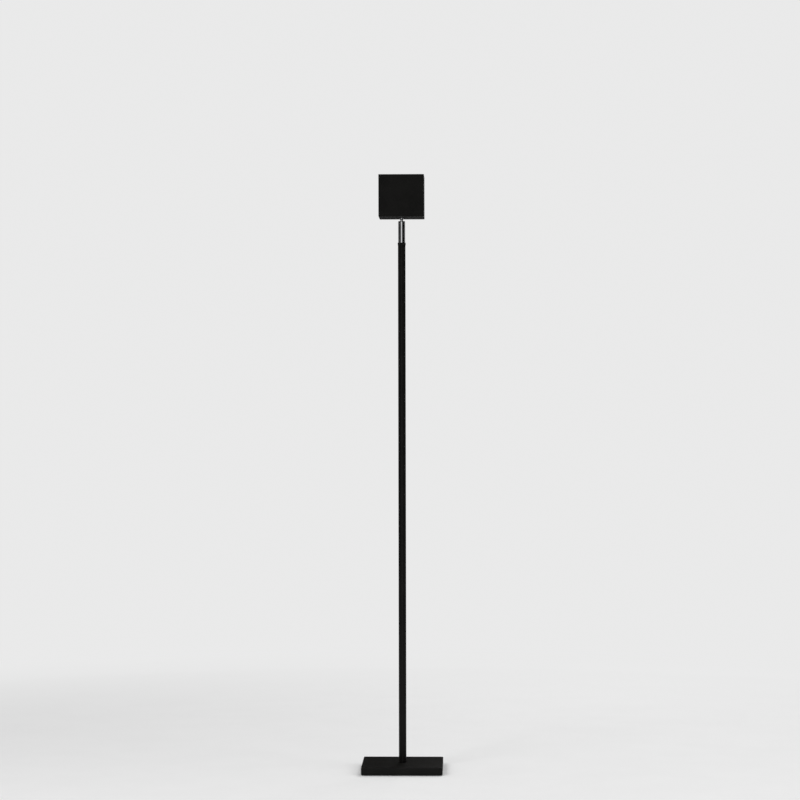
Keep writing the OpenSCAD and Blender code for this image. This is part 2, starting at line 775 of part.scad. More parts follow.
// Half outline of the joint body, with its rounded shoulder and its mouth over the ball
module joint_profile() {
    ball_gap_r = ball_r + run_fit;
    difference() {
        union() {
            square([joint_d / 2, joint_h - shoulder_r]);
            square([joint_d / 2 - shoulder_r, joint_h]);
            translate([joint_d / 2 - shoulder_r, joint_h - shoulder_r]) circle(shoulder_r);
        }
        translate([-eps, -eps]) square([joint_id / 2 + eps, joint_h - ball_depth + eps]);
        intersection() {
            translate([0, joint_h - ball_depth]) circle(ball_gap_r);
            translate([-eps, joint_h - ball_depth - eps])
                square([ball_gap_r + 2 * eps, mouth_keep_z + eps]);
        }
        polygon([[-eps, joint_h - ball_depth], [mouth_r, joint_h - ball_depth + mouth_keep_z],
            [mouth_r, joint_h - ball_depth + mouth_keep_z + mouth_land],
            [mouth_top_r, joint_h], [mouth_top_r, joint_h + eps], [-eps, joint_h + eps]]);
        translate([-joint_d, -eps]) square([joint_d, joint_h + 2 * eps]);
    }
}

module joint_body() color([0.8, 0.8, 0.8]) {
    difference() {
        translate([0, 0, joint_z]) rotate_extrude() joint_profile();
        // the slot that takes the neck when the head tips forward
        translate([0, 0, ball_z]) {
            rotate([-90, 0, 0]) bar(slot_w, joint_d);
            translate([-slot_w / 2, 0, 0]) cube([slot_w, joint_d, ball_depth + eps]);
        }
    }
}

// Tube swept along a list of points, with its rings square to the way between them
function ring_points(p, dir, d, sides) =
    let (w = dir / norm(dir),
        side = cross([0, 0, 1], w),
        u = side / norm(side),
        v = cross(w, u))
    [for (i = [0:sides - 1]) p + d / 2 * (cos(360 * i / sides) * u + sin(360 * i / sides) * v)];

module swept_tube(path, d, sides) {
    n = len(path);
    points = [for (k = [0:n - 1])
        each ring_points(path[k], path[min(k + 1, n - 1)] - path[max(k - 1, 0)], d, sides)];
    walls = [for (k = [0:n - 2], i = [0:sides - 1])
        let (a = k * sides + i, b = k * sides + (i + 1) % sides)
        each [[a, b + sides, b], [a, a + sides, b + sides]]];
    polyhedron(points = points,
        faces = concat(walls, [[for (i = [0:sides - 1]) i]],
            [[for (i = [sides - 1:-1:0]) (n - 1) * sides + i]]));
}

// Height of a spring's wire after t of its turns: nearly flat at both ends
function spring_rise(t, turns, climb) =
    t < spring_flat ? spring_lift * t / spring_flat
    : t > turns - spring_flat ? climb - spring_lift * (turns - t) / spring_flat
    : spring_lift + (climb - 2 * spring_lift) * (t - spring_flat) / (turns - 2 * spring_flat);

// Compression spring between the plug and the ball's seat
module joint_spring() color([0.5, 0.5, 0.52]) {
    r = (spring_d - spring_wire_d) / 2;
    climb = spring_l - spring_wire_d;
    path = [for (k = [0:spring_turns * spring_steps]) let (t = k / spring_steps)
        [r * cos(360 * t), r * sin(360 * t),
            spring_z + spring_wire_d / 2 + spring_rise(t, spring_turns, climb)]];
    swept_tube(path, spring_wire_d, spring_sides);
}

module ball_seat() color([0.85, 0.85, 0.82]) {
    difference() {
        bar(seat_d, seat_h, seat_z);
        bar(seat_bore_d, seat_h + 2 * eps, seat_z - eps);
        translate([0, 0, ball_z]) sphere(r = ball_r + run_fit);
    }
}

// Cut in the ball that lets the cable pass from any tilt, drawn with +X forward, +Y up
module cable_slot_outline() {
    start = -90 - tilt_back - cable_slot_over;
    end = -90 + tilt_down + cable_slot_over;
    reach = ball_d;
    for (a = [start, end])
        rotate(a) translate([0, -cable_slot_w / 2]) square([reach, cable_slot_w]);
    circle(d = cable_slot_w);
    polygon([[0, 0], for (i = [0:cable_slot_parts])
        let (a = start + i * (end - start) / cable_slot_parts) reach * [cos(a), sin(a)]]);
}

// The ball, its neck and the threaded stem, turned from one bar and drilled through
module ball_stem() color([0.78, 0.78, 0.78]) {
    difference() {
        translate([0, 0, ball_z]) union() {
            sphere(d = ball_d);
            bar(neck_d, neck_end + eps);
            translate([0, 0, neck_end]) cylinder(d1 = neck_d, d2 = stem_d, h = neck_flare);
            bar(stem_d, stem_top_z - ball_z - neck_end - neck_flare, neck_end + neck_flare);
        }
        bar(stem_bore_d, stem_top_z - ball_z + eps, ball_z);
        translate([0, 0, ball_z]) intersection() {
            translate([-cable_slot_w / 2, 0, 0]) rotate([90, 0, 90])
                linear_extrude(cable_slot_w) cable_slot_outline();
            sphere(d = ball_d + 2 * eps);
        }
    }
}

// ---- Head: housing and its fastening ----

module stem_collar() color([0.75, 0.75, 0.75])
    ring(stem_collar_d, stem_d + 2 * push_fit, stem_collar_h, head_z - stem_collar_h);

module stem_washer() color([0.6, 0.6, 0.6])
    ring(stem_washer_d, stem_d + 2 * drop_fit, stem_washer_t, floor_z);

module stem_nut() color([0.7, 0.6, 0.35])
    hex_nut(stem_nut_af, stem_d + 2 * push_fit, stem_nut_h, stem_nut_z);

// Bush that keeps the cable off the stem's edge
module stem_grommet() color([0.1, 0.1, 0.1]) {
    z = stem_top_z - grommet_spigot_l;
    l = grommet_spigot_l + grommet_t;
    difference() {
        union() {
            bar(stem_bore_d - 2 * push_fit, l, z);
            bar(stem_d - 2 * grommet_inset, grommet_t, stem_top_z);
        }
        bar(cable_d + 2 * push_fit, l + 2 * eps, z - eps);
    }
}

// Cast box, open at the front, with the posts and bosses that carry what is inside
module housing() color([0.05, 0.05, 0.05]) {
    difference() {
        union() {
            difference() {
                translate([0, rim_y, beam_z]) rotate([90, 0, 0])
                    pressed_block(head_w, head_h, head_d, head_edge_r, head_edge_r);
                along_beam(back_y) linear_extrude(head_d)
                    rounded_rect(in_w, in_h, head_inner_r);
            }
            along_beam(back_y - eps) {
                at_corners(2 * post_x, 2 * post_z) bar(post_d, plate_y - back_y + eps);
                at_corners(2 * boss_x, 2 * boss_z) bar(boss_d, boss_l + eps);
            }
            for (s = [-1, 1])
                translate([in_w / 2 + eps, driver_screw_y, beam_z + s * driver_screw_z])
                    rotate([0, -90, 0]) bar(standoff_d, driver_standoff + eps);
        }
        along_beam(plate_y - post_screw_grip - bore_room)
            at_corners(2 * post_x, 2 * post_z) bar(screw_d, post_screw_grip + bore_room + eps);
        along_beam(sink_y - boss_screw_grip - bore_room)
            at_corners(2 * boss_x, 2 * boss_z) bar(screw_d, boss_screw_grip + bore_room + eps);
        for (s = [-1, 1])
            translate([in_w / 2, driver_screw_y, beam_z + s * driver_screw_z])
                rotate([0, -90, 0]) bar(screw_d, driver_standoff + eps);
        bar(stem_d + 2 * run_fit, head_wall + 2 * eps, head_z - eps);
    }
}

module front_plate() color([0.05, 0.05, 0.05]) {
    head_sink = screw_d * flush_head_share;
    head_hole = screw_d * screw_head_share + 2 * run_fit;
    difference() {
        along_beam(plate_y) linear_extrude(front_t)
            rounded_rect(in_w - 2 * drop_fit, in_h - 2 * drop_fit, head_inner_r);
        along_beam(plate_y - eps) bar(barrel_d + 2 * drop_fit, front_t + 2 * eps);
        along_beam(plate_y) at_corners(2 * post_x, 2 * post_z) {
            bar(screw_d + 2 * run_fit, front_t + 2 * eps, -eps);
            translate([0, 0, front_t - head_sink])
                cylinder(d1 = screw_d + 2 * run_fit, d2 = head_hole, h = head_sink);
            bar(head_hole, eps, front_t);
        }
        for (a = [45:90:315]) along_beam(plate_y)
            rotate(a) translate([flange_screw_r, 0, -eps])
                bar(flange_screw_d, front_t - flange_screw_skin + eps);
    }
}

module front_plate_screws() color([0.1, 0.1, 0.1]) {
    translate([0, face_y, beam_z]) rotate([90, 0, 0])
        at_corners(2 * post_x, 2 * post_z) flush_screw(screw_d, front_t + post_screw_grip);
}

// ---- Head: lenses ----

// Half outline of the stepped barrel: x is the radius, y runs forward from its back end
module barrel_profile() {
    lip_r = condenser_seat_r - condenser_lip_w;
    back_r = condenser_seat_r + condenser_wall;
    cone_y0 = cone_y - barrel_back_y;
    cone_y1 = cone_y0 + cone_l;
    seat_y = lens_y - barrel_back_y;
    polygon([
        [lip_r, 0],
        [back_r, 0],
        [back_r, cone_y0],
        [barrel_r, cone_y1],
        [barrel_r, flange_y - barrel_back_y],
        [flange_r, flange_y - barrel_back_y],
        [flange_r, flange_y - barrel_back_y + flange_t],
        [barrel_r, flange_y - barrel_back_y + flange_t],
        [barrel_r, barrel_l - barrel_chamfer],
        [barrel_r - barrel_chamfer, barrel_l],
        [lens_seat_r + barrel_chamfer, barrel_l],
        [lens_seat_r, barrel_l - barrel_chamfer],
        [lens_seat_r, seat_y],
        [lens_seat_r - lens_rim_w, seat_y],
        [lens_seat_r - lens_rim_w, cone_y1],
        [condenser_seat_r, cone_y0],
        [condenser_seat_r, condenser_y - barrel_back_y],
        [lip_r, condenser_y - barrel_back_y]]);
}

module lens_barrel() color([0.07, 0.07, 0.07]) {
    difference() {
        along_beam(barrel_back_y) rotate_extrude($fn = 96) barrel_profile();
        for (a = [45:90:315]) along_beam(flange_y)
            rotate(a) translate([flange_screw_r, 0, -eps])
                bar(flange_screw_d + 2 * run_fit, flange_t + 2 * eps);
    }
}

module barrel_screws() color([0.45, 0.45, 0.46]) {
    l = flange_t + front_t - flange_screw_skin - flange_screw_room;
    for (a = [45:90:315]) along_beam(flange_y)
        rotate(a) translate([flange_screw_r, 0, 0]) pan_screw(flange_screw_d, l);
}

// Flat-backed lens along +Z: rim radius r, dome of radius curve over all but the rim
module flat_back_lens(r, rim_w, rim_t, curve) {
    top = r - rim_w;
    sag = curve - sqrt(curve * curve - top * top);
    rotate_extrude($fn = 96) {
        square([r, rim_t]);
        intersection() {
            translate([0, rim_t + sag - curve]) circle(curve, $fn = 180);
            translate([0, rim_t - eps]) square([top, sag + eps]);
        }
    }
}

module front_lens() color([0.85, 0.9, 0.92, 0.5])
    along_beam(lens_y) flat_back_lens(lens_r, lens_rim_w, lens_rim_t, lens_curve_r);

// Threaded ring in front of a lens, with two spanner notches
module notched_ring(r, bore_r, h) {
    difference() {
        ring(2 * r, 2 * bore_r, h);
        translate([-2 * r, -notch_w / 2, h - notch_h]) cube([4 * r, notch_w, notch_h + eps]);
    }
}

module lens_retainer() color([0.07, 0.07, 0.07])
    along_beam(lens_rim_y)
        notched_ring(lens_seat_r - push_fit, dome_r + lens_play, retainer_h);

module condenser_lens() color([0.85, 0.9, 0.92, 0.5])
    along_beam(condenser_y)
        flat_back_lens(condenser_r, condenser_rim_w, condenser_rim_t, condenser_curve_r);

module condenser_ring() color([0.07, 0.07, 0.07])
    along_beam(condenser_rim_y)
        notched_ring(condenser_seat_r - push_fit, condenser_r - condenser_rim_w + lens_play,
            condenser_ring_h);

// ---- Head: light source ----

module heat_sink() color([0.7, 0.7, 0.72]) {
    pitch = (fin_span - fin_t) / (fin_count - 1);
    difference() {
        union() {
            along_beam(sink_y) linear_extrude(sink_t) rounded_rect(sink_w, sink_h, sink_r);
            for (k = [0:fin_count - 1])
                translate([-fin_span / 2 + k * pitch, sink_y - fin_l, beam_z - sink_h / 2])
                    cube([fin_t, fin_l + eps, sink_h]);
        }
        along_beam(sink_y - eps) {
            at_corners(2 * boss_x, 2 * boss_z) bar(screw_d + 2 * run_fit, sink_t + 2 * eps);
            for (s = [-1, 1]) translate([0, s * ear_z, 0]) bar(screw_d, sink_t + 2 * eps);
        }
    }
}

module heat_sink_screws() color([0.45, 0.45, 0.46])
    translate([0, sink_face_y, beam_z]) rotate([90, 0, 0])
        at_corners(2 * boss_x, 2 * boss_z) pan_screw(screw_d, sink_t + boss_screw_grip);

module heat_pad() color([0.6, 0.65, 0.7])
    along_beam(sink_face_y) linear_extrude(pad_t) square(board_w, center = true);

module emitter_board() color([0.9, 0.9, 0.88])
    along_beam(board_y) linear_extrude(board_t) rounded_rect(board_w, board_w, board_r);

module emitter() color([0.95, 0.85, 0.3])
    along_beam(board_face_y) bar(emitter_d, emitter_t);

// Moulded cup: conical reflector, seat for the filter, two ears for its screws, and a
// notch for the lead
module reflector_holder() color([0.9, 0.9, 0.9]) {
    pocket_r = filter_d / 2 + filter_play;
    seat_y = filter_seat_y - board_face_y;
    difference() {
        union() {
            along_beam(board_face_y) rotate_extrude() polygon([
                [reflector_r0, 0], [holder_r, 0], [holder_r, holder_l], [pocket_r, holder_l],
                [pocket_r, seat_y], [reflector_r1, seat_y], [reflector_r0, reflector_land]]);
            for (s = [-1, 1]) along_beam(sink_face_y) translate([0, s * ear_z, 0]) {
                bar(ear_d, ear_t);
                translate([-ear_d / 2, min(0, -s * ear_root), 0]) cube([ear_d, ear_root, ear_t]);
            }
        }
        for (s = [-1, 1]) along_beam(sink_face_y - eps)
            translate([0, s * ear_z, 0]) bar(screw_d + 2 * run_fit, ear_t + 2 * eps);
        translate([0, lead_y - lead_d / 2 - eps, lead_z - lead_d / 2 - drop_fit])
            cube([holder_d, lead_d + eps + drop_fit, lead_d + 2 * drop_fit]);
    }
}

module holder_screws() color([0.45, 0.45, 0.46])
    for (s = [-1, 1]) translate([0, sink_face_y + ear_t, beam_z + s * ear_z])
        rotate([90, 0, 0]) pan_screw(screw_d, ear_t + ear_screw_grip);

module filter_disc() color([1, 0.45, 0.1, 0.6])
    along_beam(filter_seat_y) bar(filter_d, filter_t);

module filter_ring() color([0.1, 0.1, 0.1])
    along_beam(filter_seat_y + filter_t)
        ring(filter_d + 2 * (filter_play - push_fit), filter_d - 2 * filter_ring_w,
            filter_ring_h);

// ---- Head: driver and cables ----

module driver_board() color([0.1, 0.35, 0.2]) {
    difference() {
        translate([driver_x, driver_y, beam_z - driver_l / 2])
            cube([driver_t, driver_w, driver_l]);
        for (s = [-1, 1])
            translate([driver_x - eps, driver_screw_y, beam_z + s * driver_screw_z])
                rotate([0, 90, 0]) bar(screw_d + 2 * run_fit, driver_t + 2 * eps);
    }
}

// A place on the driver board, counted from its back edge and from the beam's middle
module on_board(at) translate([driver_x, driver_y + at[0], beam_z + at[1]]) children();

// What stands on the board: terminal block, lead's connector, coil, capacitor and chip
module driver_parts() color([0.15, 0.15, 0.18]) {
    translate([driver_x - terminal_h, -terminal_w / 2, beam_z - driver_l / 2])
        cube([terminal_h, terminal_w, terminal_l]);
    translate([driver_x - lead_plug_h, driver_y, lead_z - lead_plug_l / 2])
        cube([lead_plug_h, lead_plug_h, lead_plug_l]);
    on_board(coil_at) rotate([0, -90, 0]) bar(coil_d, coil_h);
    on_board(capacitor_at) rotate([0, -90, 0]) bar(capacitor_d, capacitor_h);
    on_board(chip_at) translate([-chip_h, 0, 0]) cube([chip_h, chip_w, chip_w]);
}

module driver_screws() color([0.45, 0.45, 0.46])
    for (s = [-1, 1])
        translate([driver_x, driver_screw_y, beam_z + s * driver_screw_z])
            rotate([0, 90, 0]) pan_screw(screw_d, driver_t + driver_standoff - standoff_room);

// From the socket along the base, and up the pole to just under the ball's middle
module supply_cable() color([0.12, 0.12, 0.12]) {
    bend_top_z = base_cable_z + cable_bend_r;
    translate([0, cable_bend_r, base_cable_z]) rotate([-90, 0, 0])
        bar(cable_d, socket_back_y - cable_bend_r);
    translate([0, 0, bend_top_z]) rotate([180, 0, 90]) cable_bend(cable_d, cable_bend_r);
    bar(cable_d, ball_z - pivot_gap - bend_top_z, bend_top_z);
}

// From just over the ball's middle up the stem, and round to the driver's terminal
module head_cable() color([0.12, 0.12, 0.12]) {
    r = cable_bend_r;
    run_z = stem_cable_top_z + r;
    bar(cable_d, stem_cable_top_z - ball_z - pivot_gap, ball_z + pivot_gap);
    translate([0, 0, stem_cable_top_z]) cable_bend(cable_d, r);
    translate([r, 0, run_z]) rotate([0, 90, 0]) bar(cable_d, terminal_x - 2 * r);
    translate([terminal_x, 0, run_z + r]) rotate([180, 0, 180]) cable_bend(cable_d, r);
    translate([terminal_x, 0, 0])
        bar(cable_d, beam_z - driver_l / 2 - run_z - r, run_z + r);
}

// From the driver to the light source's board
module emitter_lead() color([0.7, 0.1, 0.1]) {
    r = lead_bend_r;
    translate([lead_x, lead_y + r, lead_z]) {
        rotate([-90, 0, 0]) bar(lead_d, driver_y - lead_y - r);
        rotate([90, 0, 0]) rotate([0, 0, 180]) cable_bend(lead_d, r);
    }
    translate([lead_pad_x, lead_y, lead_z]) rotate([0, 90, 0])
        bar(lead_d, lead_x - r - lead_pad_x);
}

base_cover();
base_weight();
bottom_plate();
bottom_plate_screws();
feet();
socket_body();
socket_pin();
foot_nipple();
foot_washer();
foot_nut();
foot_plug();
lower_tube();
middle_tube();
upper_tube();
lower_joiner();
upper_joiner();
lower_joiner_nut();
upper_joiner_nut();
pole_cap();
pan_nipple();
slip_washer();
friction_washer();
pan_nut();
stop_pin();
supply_cable();
swivel_plug();
joint_body();
joint_spring();
ball_seat();
ball_stem();
stem_collar();
stem_washer();
stem_nut();
stem_grommet();
housing();
front_plate();
front_plate_screws();
lens_barrel();
barrel_screws();
front_lens();
lens_retainer();
condenser_lens();
condenser_ring();
heat_sink();
heat_sink_screws();
heat_pad();
emitter_board();
emitter();
reflector_holder();
holder_screws();
filter_disc();
filter_ring();
driver_board();
driver_parts();
driver_screws();
head_cable();
emitter_lead();
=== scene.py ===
import json
import math
import bmesh
import bpy
from mathutils import Matrix, Vector


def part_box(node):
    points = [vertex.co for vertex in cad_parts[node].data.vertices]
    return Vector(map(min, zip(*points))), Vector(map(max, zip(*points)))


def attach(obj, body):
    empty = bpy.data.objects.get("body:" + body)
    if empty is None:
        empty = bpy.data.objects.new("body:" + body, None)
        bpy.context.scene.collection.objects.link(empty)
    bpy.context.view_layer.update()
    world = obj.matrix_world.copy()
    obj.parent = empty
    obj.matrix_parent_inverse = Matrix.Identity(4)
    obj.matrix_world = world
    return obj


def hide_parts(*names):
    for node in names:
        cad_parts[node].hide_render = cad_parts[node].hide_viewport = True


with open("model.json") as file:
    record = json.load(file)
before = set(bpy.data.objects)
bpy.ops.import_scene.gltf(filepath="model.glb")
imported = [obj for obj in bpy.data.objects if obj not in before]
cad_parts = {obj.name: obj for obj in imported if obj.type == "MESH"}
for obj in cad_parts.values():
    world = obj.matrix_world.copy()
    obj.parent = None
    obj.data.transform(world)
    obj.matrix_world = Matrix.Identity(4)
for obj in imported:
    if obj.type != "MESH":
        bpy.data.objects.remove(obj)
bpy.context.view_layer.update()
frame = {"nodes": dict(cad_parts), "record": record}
cadNodes = frame["nodes"]
bodyOf = {node: body for body, parts in frame["record"]["behaviour"]["bodies"].items()
          for node in parts}
slotOf = {part["node"]: part["material_slot"] for part in frame["record"]["subparts"]}
mm = 0.001
upright = Matrix.Identity(4)
print("frame loaded:", len(cadNodes), "CAD nodes")


def pieceName(node):   # base_cover becomes baseCover
    first, *rest = node.split("_")
    return first + "".join(word.capitalize() for word in rest)


def boxOf(node):   # the CAD node's two corners in mm
    return [[value / mm for value in corner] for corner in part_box(node)]


def heights(node):
    return [corner[2] for corner in boxOf(node)]


def depths(node):   # along the beam
    return [corner[1] for corner in boxOf(node)]


def turnBy(degrees, axis):
    return Matrix.Rotation(math.radians(degrees), 4, axis)


def moveBy(x, y, z):   # in mm
    return Matrix.Translation((x * mm, y * mm, z * mm))


beamZ = sum(heights("housing")) / 2
beamAxis = moveBy(0, 0, beamZ) @ turnBy(-90, "X")   # local +Z runs along the beam


class Wire:   # a node's output, so that sums on patterns can be written as sums
    def __init__(self, tree, socket=None):
        self.tree = tree
        self.socket = socket

    def node(self, kind, settings=None, values=None, out=0):
        made = self.tree.nodes.new(kind)
        for key, value in (settings or {}).items():
            setattr(made, key, value)
        for key, value in (values or {}).items():
            if isinstance(value, Wire):
                self.tree.links.new(value.socket, made.inputs[key])
            else:
                made.inputs[key].default_value = value
        return Wire(self.tree, made.outputs[out]) if made.outputs else made

    def calc(self, operation, first, second=0.0):
        return self.node("ShaderNodeMath", {"operation": operation}, {0: first, 1: second})

    def __add__(self, other):
        return self.calc("ADD", self, other)

    def __radd__(self, other):
        return self.calc("ADD", other, self)

    def __sub__(self, other):
        return self.calc("SUBTRACT", self, other)

    def __rsub__(self, other):
        return self.calc("SUBTRACT", other, self)

    def __mul__(self, other):
        return self.calc("MULTIPLY", self, other)

    def __rmul__(self, other):
        return self.calc("MULTIPLY", other, self)

    def __truediv__(self, other):
        return self.calc("DIVIDE", self, other)

    def __mod__(self, other):
        return self.calc("FLOORED_MODULO", self, other)

    def step(self, low, high):   # 0 below low, 1 above high, smooth between
        return self.node("ShaderNodeMapRange", {"interpolation_type": "SMOOTHSTEP"},
                         {"Value": self, "From Min": low, "From Max": high})

    def parts(self):   # the three numbers of a vector
        split = self.node("ShaderNodeSeparateXYZ", None, {0: self})
        return [Wire(self.tree, socket) for socket in split.socket.node.outputs]

    def noise(self, size, detail=2.0, rough=0.5):   # size in mm
        return self.node("ShaderNodeTexNoise", None,
                         {"Vector": self, "Scale": 1 / (size * mm), "Detail": detail,
                          "Roughness": rough})

    def cells(self, size, feature="F1"):
        return self.node("ShaderNodeTexVoronoi", {"feature": feature},
                         {"Vector": self, "Scale": 1 / (size * mm)})

    def stretched(self, x, y, z):
        return self.node("ShaderNodeMapping", None, {"Vector": self, "Scale": (x, y, z)})

    def tint(self, first, second):   # mixes two colours by this value
        return self.node("ShaderNodeMix", {"data_type": "RGBA"}, {0: self, 6: first, 7: second},
                         out=2)


def grey(value):
    return (value, value, value, 1)


def newMaterial(name):
    material = bpy.data.materials.new(name)
    material.use_nodes = True
    return material, material.node_tree, material.node_tree.nodes["Principled BSDF"]


layerSet = {   # sizes in mm; a band is where a value starts to count and where it is full
    "toneNoise": (4, 0.55), "toneBand": (0.35, 0.65),
    "fineSize": 1.5, "fineNoise": (3, 0.6), "fineBand": (0.3, 0.7),
    "rubNoise": (3, 4, 0.65), "rubBand": (0.5, 0.8), "rubShare": 0.6, "rubGloss": -0.06,
    "dust": (0.32, 0.3, 0.27, 1), "dustNoise": (9, 5, 0.65), "dustBand": (0.42, 0.75),
    "upBand": (0.6, 0.98), "dustRough": 0.5, "drawn": 0.02}


def makeFinish(name, color, second, toneSize, roughRange, look):
    # one Principled shader; the look says which layers of pattern it gets
    material, tree, shader = newMaterial(name.replace("_", " "))
    place = Wire(tree).node("ShaderNodeTexCoord", out="Object")
    s = {**layerSet, **look}
    for key, value in look.get("sockets", {}).items():
        shader.inputs[key].default_value = value
    tone = place.noise(toneSize, *s["toneNoise"]).step(*s["toneBand"])
    color = tone.tint(color, second)
    glossy, dull = roughRange
    fine = place.noise(s["fineSize"], *s["fineNoise"]).step(*s["fineBand"])
    rough = glossy + (dull - glossy) * fine
    if "pattern" in look:
        color, rough = look["pattern"](place, color, rough)
    if "worn" in look:   # paint or plating rubbed along the edges
        wear = place.node("ShaderNodeAttribute", {"attribute_name": "edgeWear"}, out="Fac")
        rub = wear * place.noise(*s["rubNoise"]).step(*s["rubBand"])
        color = (rub * s["rubShare"]).tint(color, look["worn"])
        rough = rough + rub * s["rubGloss"]
    if "dust" in look:   # settles on what faces up
        up = place.node("ShaderNodeNewGeometry", out="Normal").parts()[2]
        drift = place.noise(*s["dustNoise"]).step(*s["dustBand"])
        settled = up.step(*s["upBand"]) * drift * look["dust"]
        color = settled.tint(color, layerSet["dust"])
        rough = rough + settled * s["dustRough"]
    height = None
    for size, depth, kind in look.get("grain", ()):
        if kind == "cells":
            layer = place.cells(size, "SMOOTH_F1") * depth
        elif kind == "drawn":   # lines that run up the piece
            layer = place.stretched(1, 1, s["drawn"]).noise(size) * depth
        else:
            layer = place.noise(size) * depth
        height = layer if height is None else height + layer
    tree.links.new(color.socket, shader.inputs["Base Color"])
    tree.links.new(rough.socket, shader.inputs["Roughness"])
    if height is not None:   # depths are in mm, so one bump of a millimetre carries them all
        bump = place.node("ShaderNodeBump", None, {"Height": height, "Distance": mm,
                                                   "Strength": 1.0})
        tree.links.new(bump.socket, shader.inputs["Normal"])
    return material


latheSet = {"across": 0.02, "noise": (0.18, 2, 0.7), "band": (0.3, 0.7), "share": 0.25,
            "dark": 0.3, "dull": 0.1}


def latheRings(place, color, rough):
    # turned metal: hair-fine rings with the height over the floor
    across, noise, ringBand, share, dark, dull = latheSet.values()
    ring = place.stretched(across, across, 1).noise(*noise)
    color = (ring.step(*ringBand) * share).tint(color, grey(dark))
    return color, rough + ring * dull - dull / 2


traceSet = {"patch": 5.2, "pitch": 1.3, "upright": (0.4, 0.41), "used": (0.12, 0.13),
            "track": (0.2, 0.26), "hole": (0.075, 0.09), "share": 0.7, "gloss": 0.06,
            "green": (0.04, 0.2, 0.09, 1), "tin": (0.62, 0.6, 0.56, 1)}   # in mm and in shares


def boardTraces(place, color, rough):
    # tracks under green mask: bundles that run up in one patch and across in the next
    s = traceSet
    _, y, z = place.parts()
    patchY, patchZ = (place.calc("FLOOR", side / (s["patch"] * mm)) for side in (y, z))
    spot = place.node("ShaderNodeCombineXYZ", None, {0: patchY, 1: patchZ})
    chance = place.node("ShaderNodeTexWhiteNoise", None, {"Vector": spot})
    upward, used = 1 - chance.step(*s["upright"]), chance.step(*s["used"])
    along = upward * y + (1 - upward) * z
    track = place.calc("ABSOLUTE", (along / (s["pitch"] * mm)) % 1.0 - 0.5)
    track = track.step(*s["track"])
    bare = 1 - place.cells(s["patch"]).step(*s["hole"])   # tinned holes
    color = (track * used * s["share"]).tint(color, s["green"])
    return bare.tint(color, s["tin"]), rough - track * used * s["gloss"]


phosphorSet = {"edge": (5.7, 5.9), "dam": (0.86, 0.86, 0.83, 1)}   # radii in mm


def phosphorFace(place, color, rough):
    # yellow face inside a white dam; the beam runs along Y through the lamp's middle
    x, _, z = place.parts()
    z = z - beamZ * mm
    radius = place.calc("SQRT", x * x + z * z)
    low, high = phosphorSet["edge"]
    return radius.step(low * mm, high * mm).tint(color, phosphorSet["dam"]), rough


weaveSet = {"scale": 350.0, "share": 0.5, "thread": (0.62, 0.66, 0.7, 1)}


def weavePad(place, color, rough):
    # glass-cloth weave of the heat pad
    across, along = (place.node("ShaderNodeTexWave", {"bands_direction": way},
                                {"Vector": place, "Scale": weaveSet["scale"]})
                     for way in "XZ")
    return (across * along * weaveSet["share"]).tint(color, weaveSet["thread"]), rough


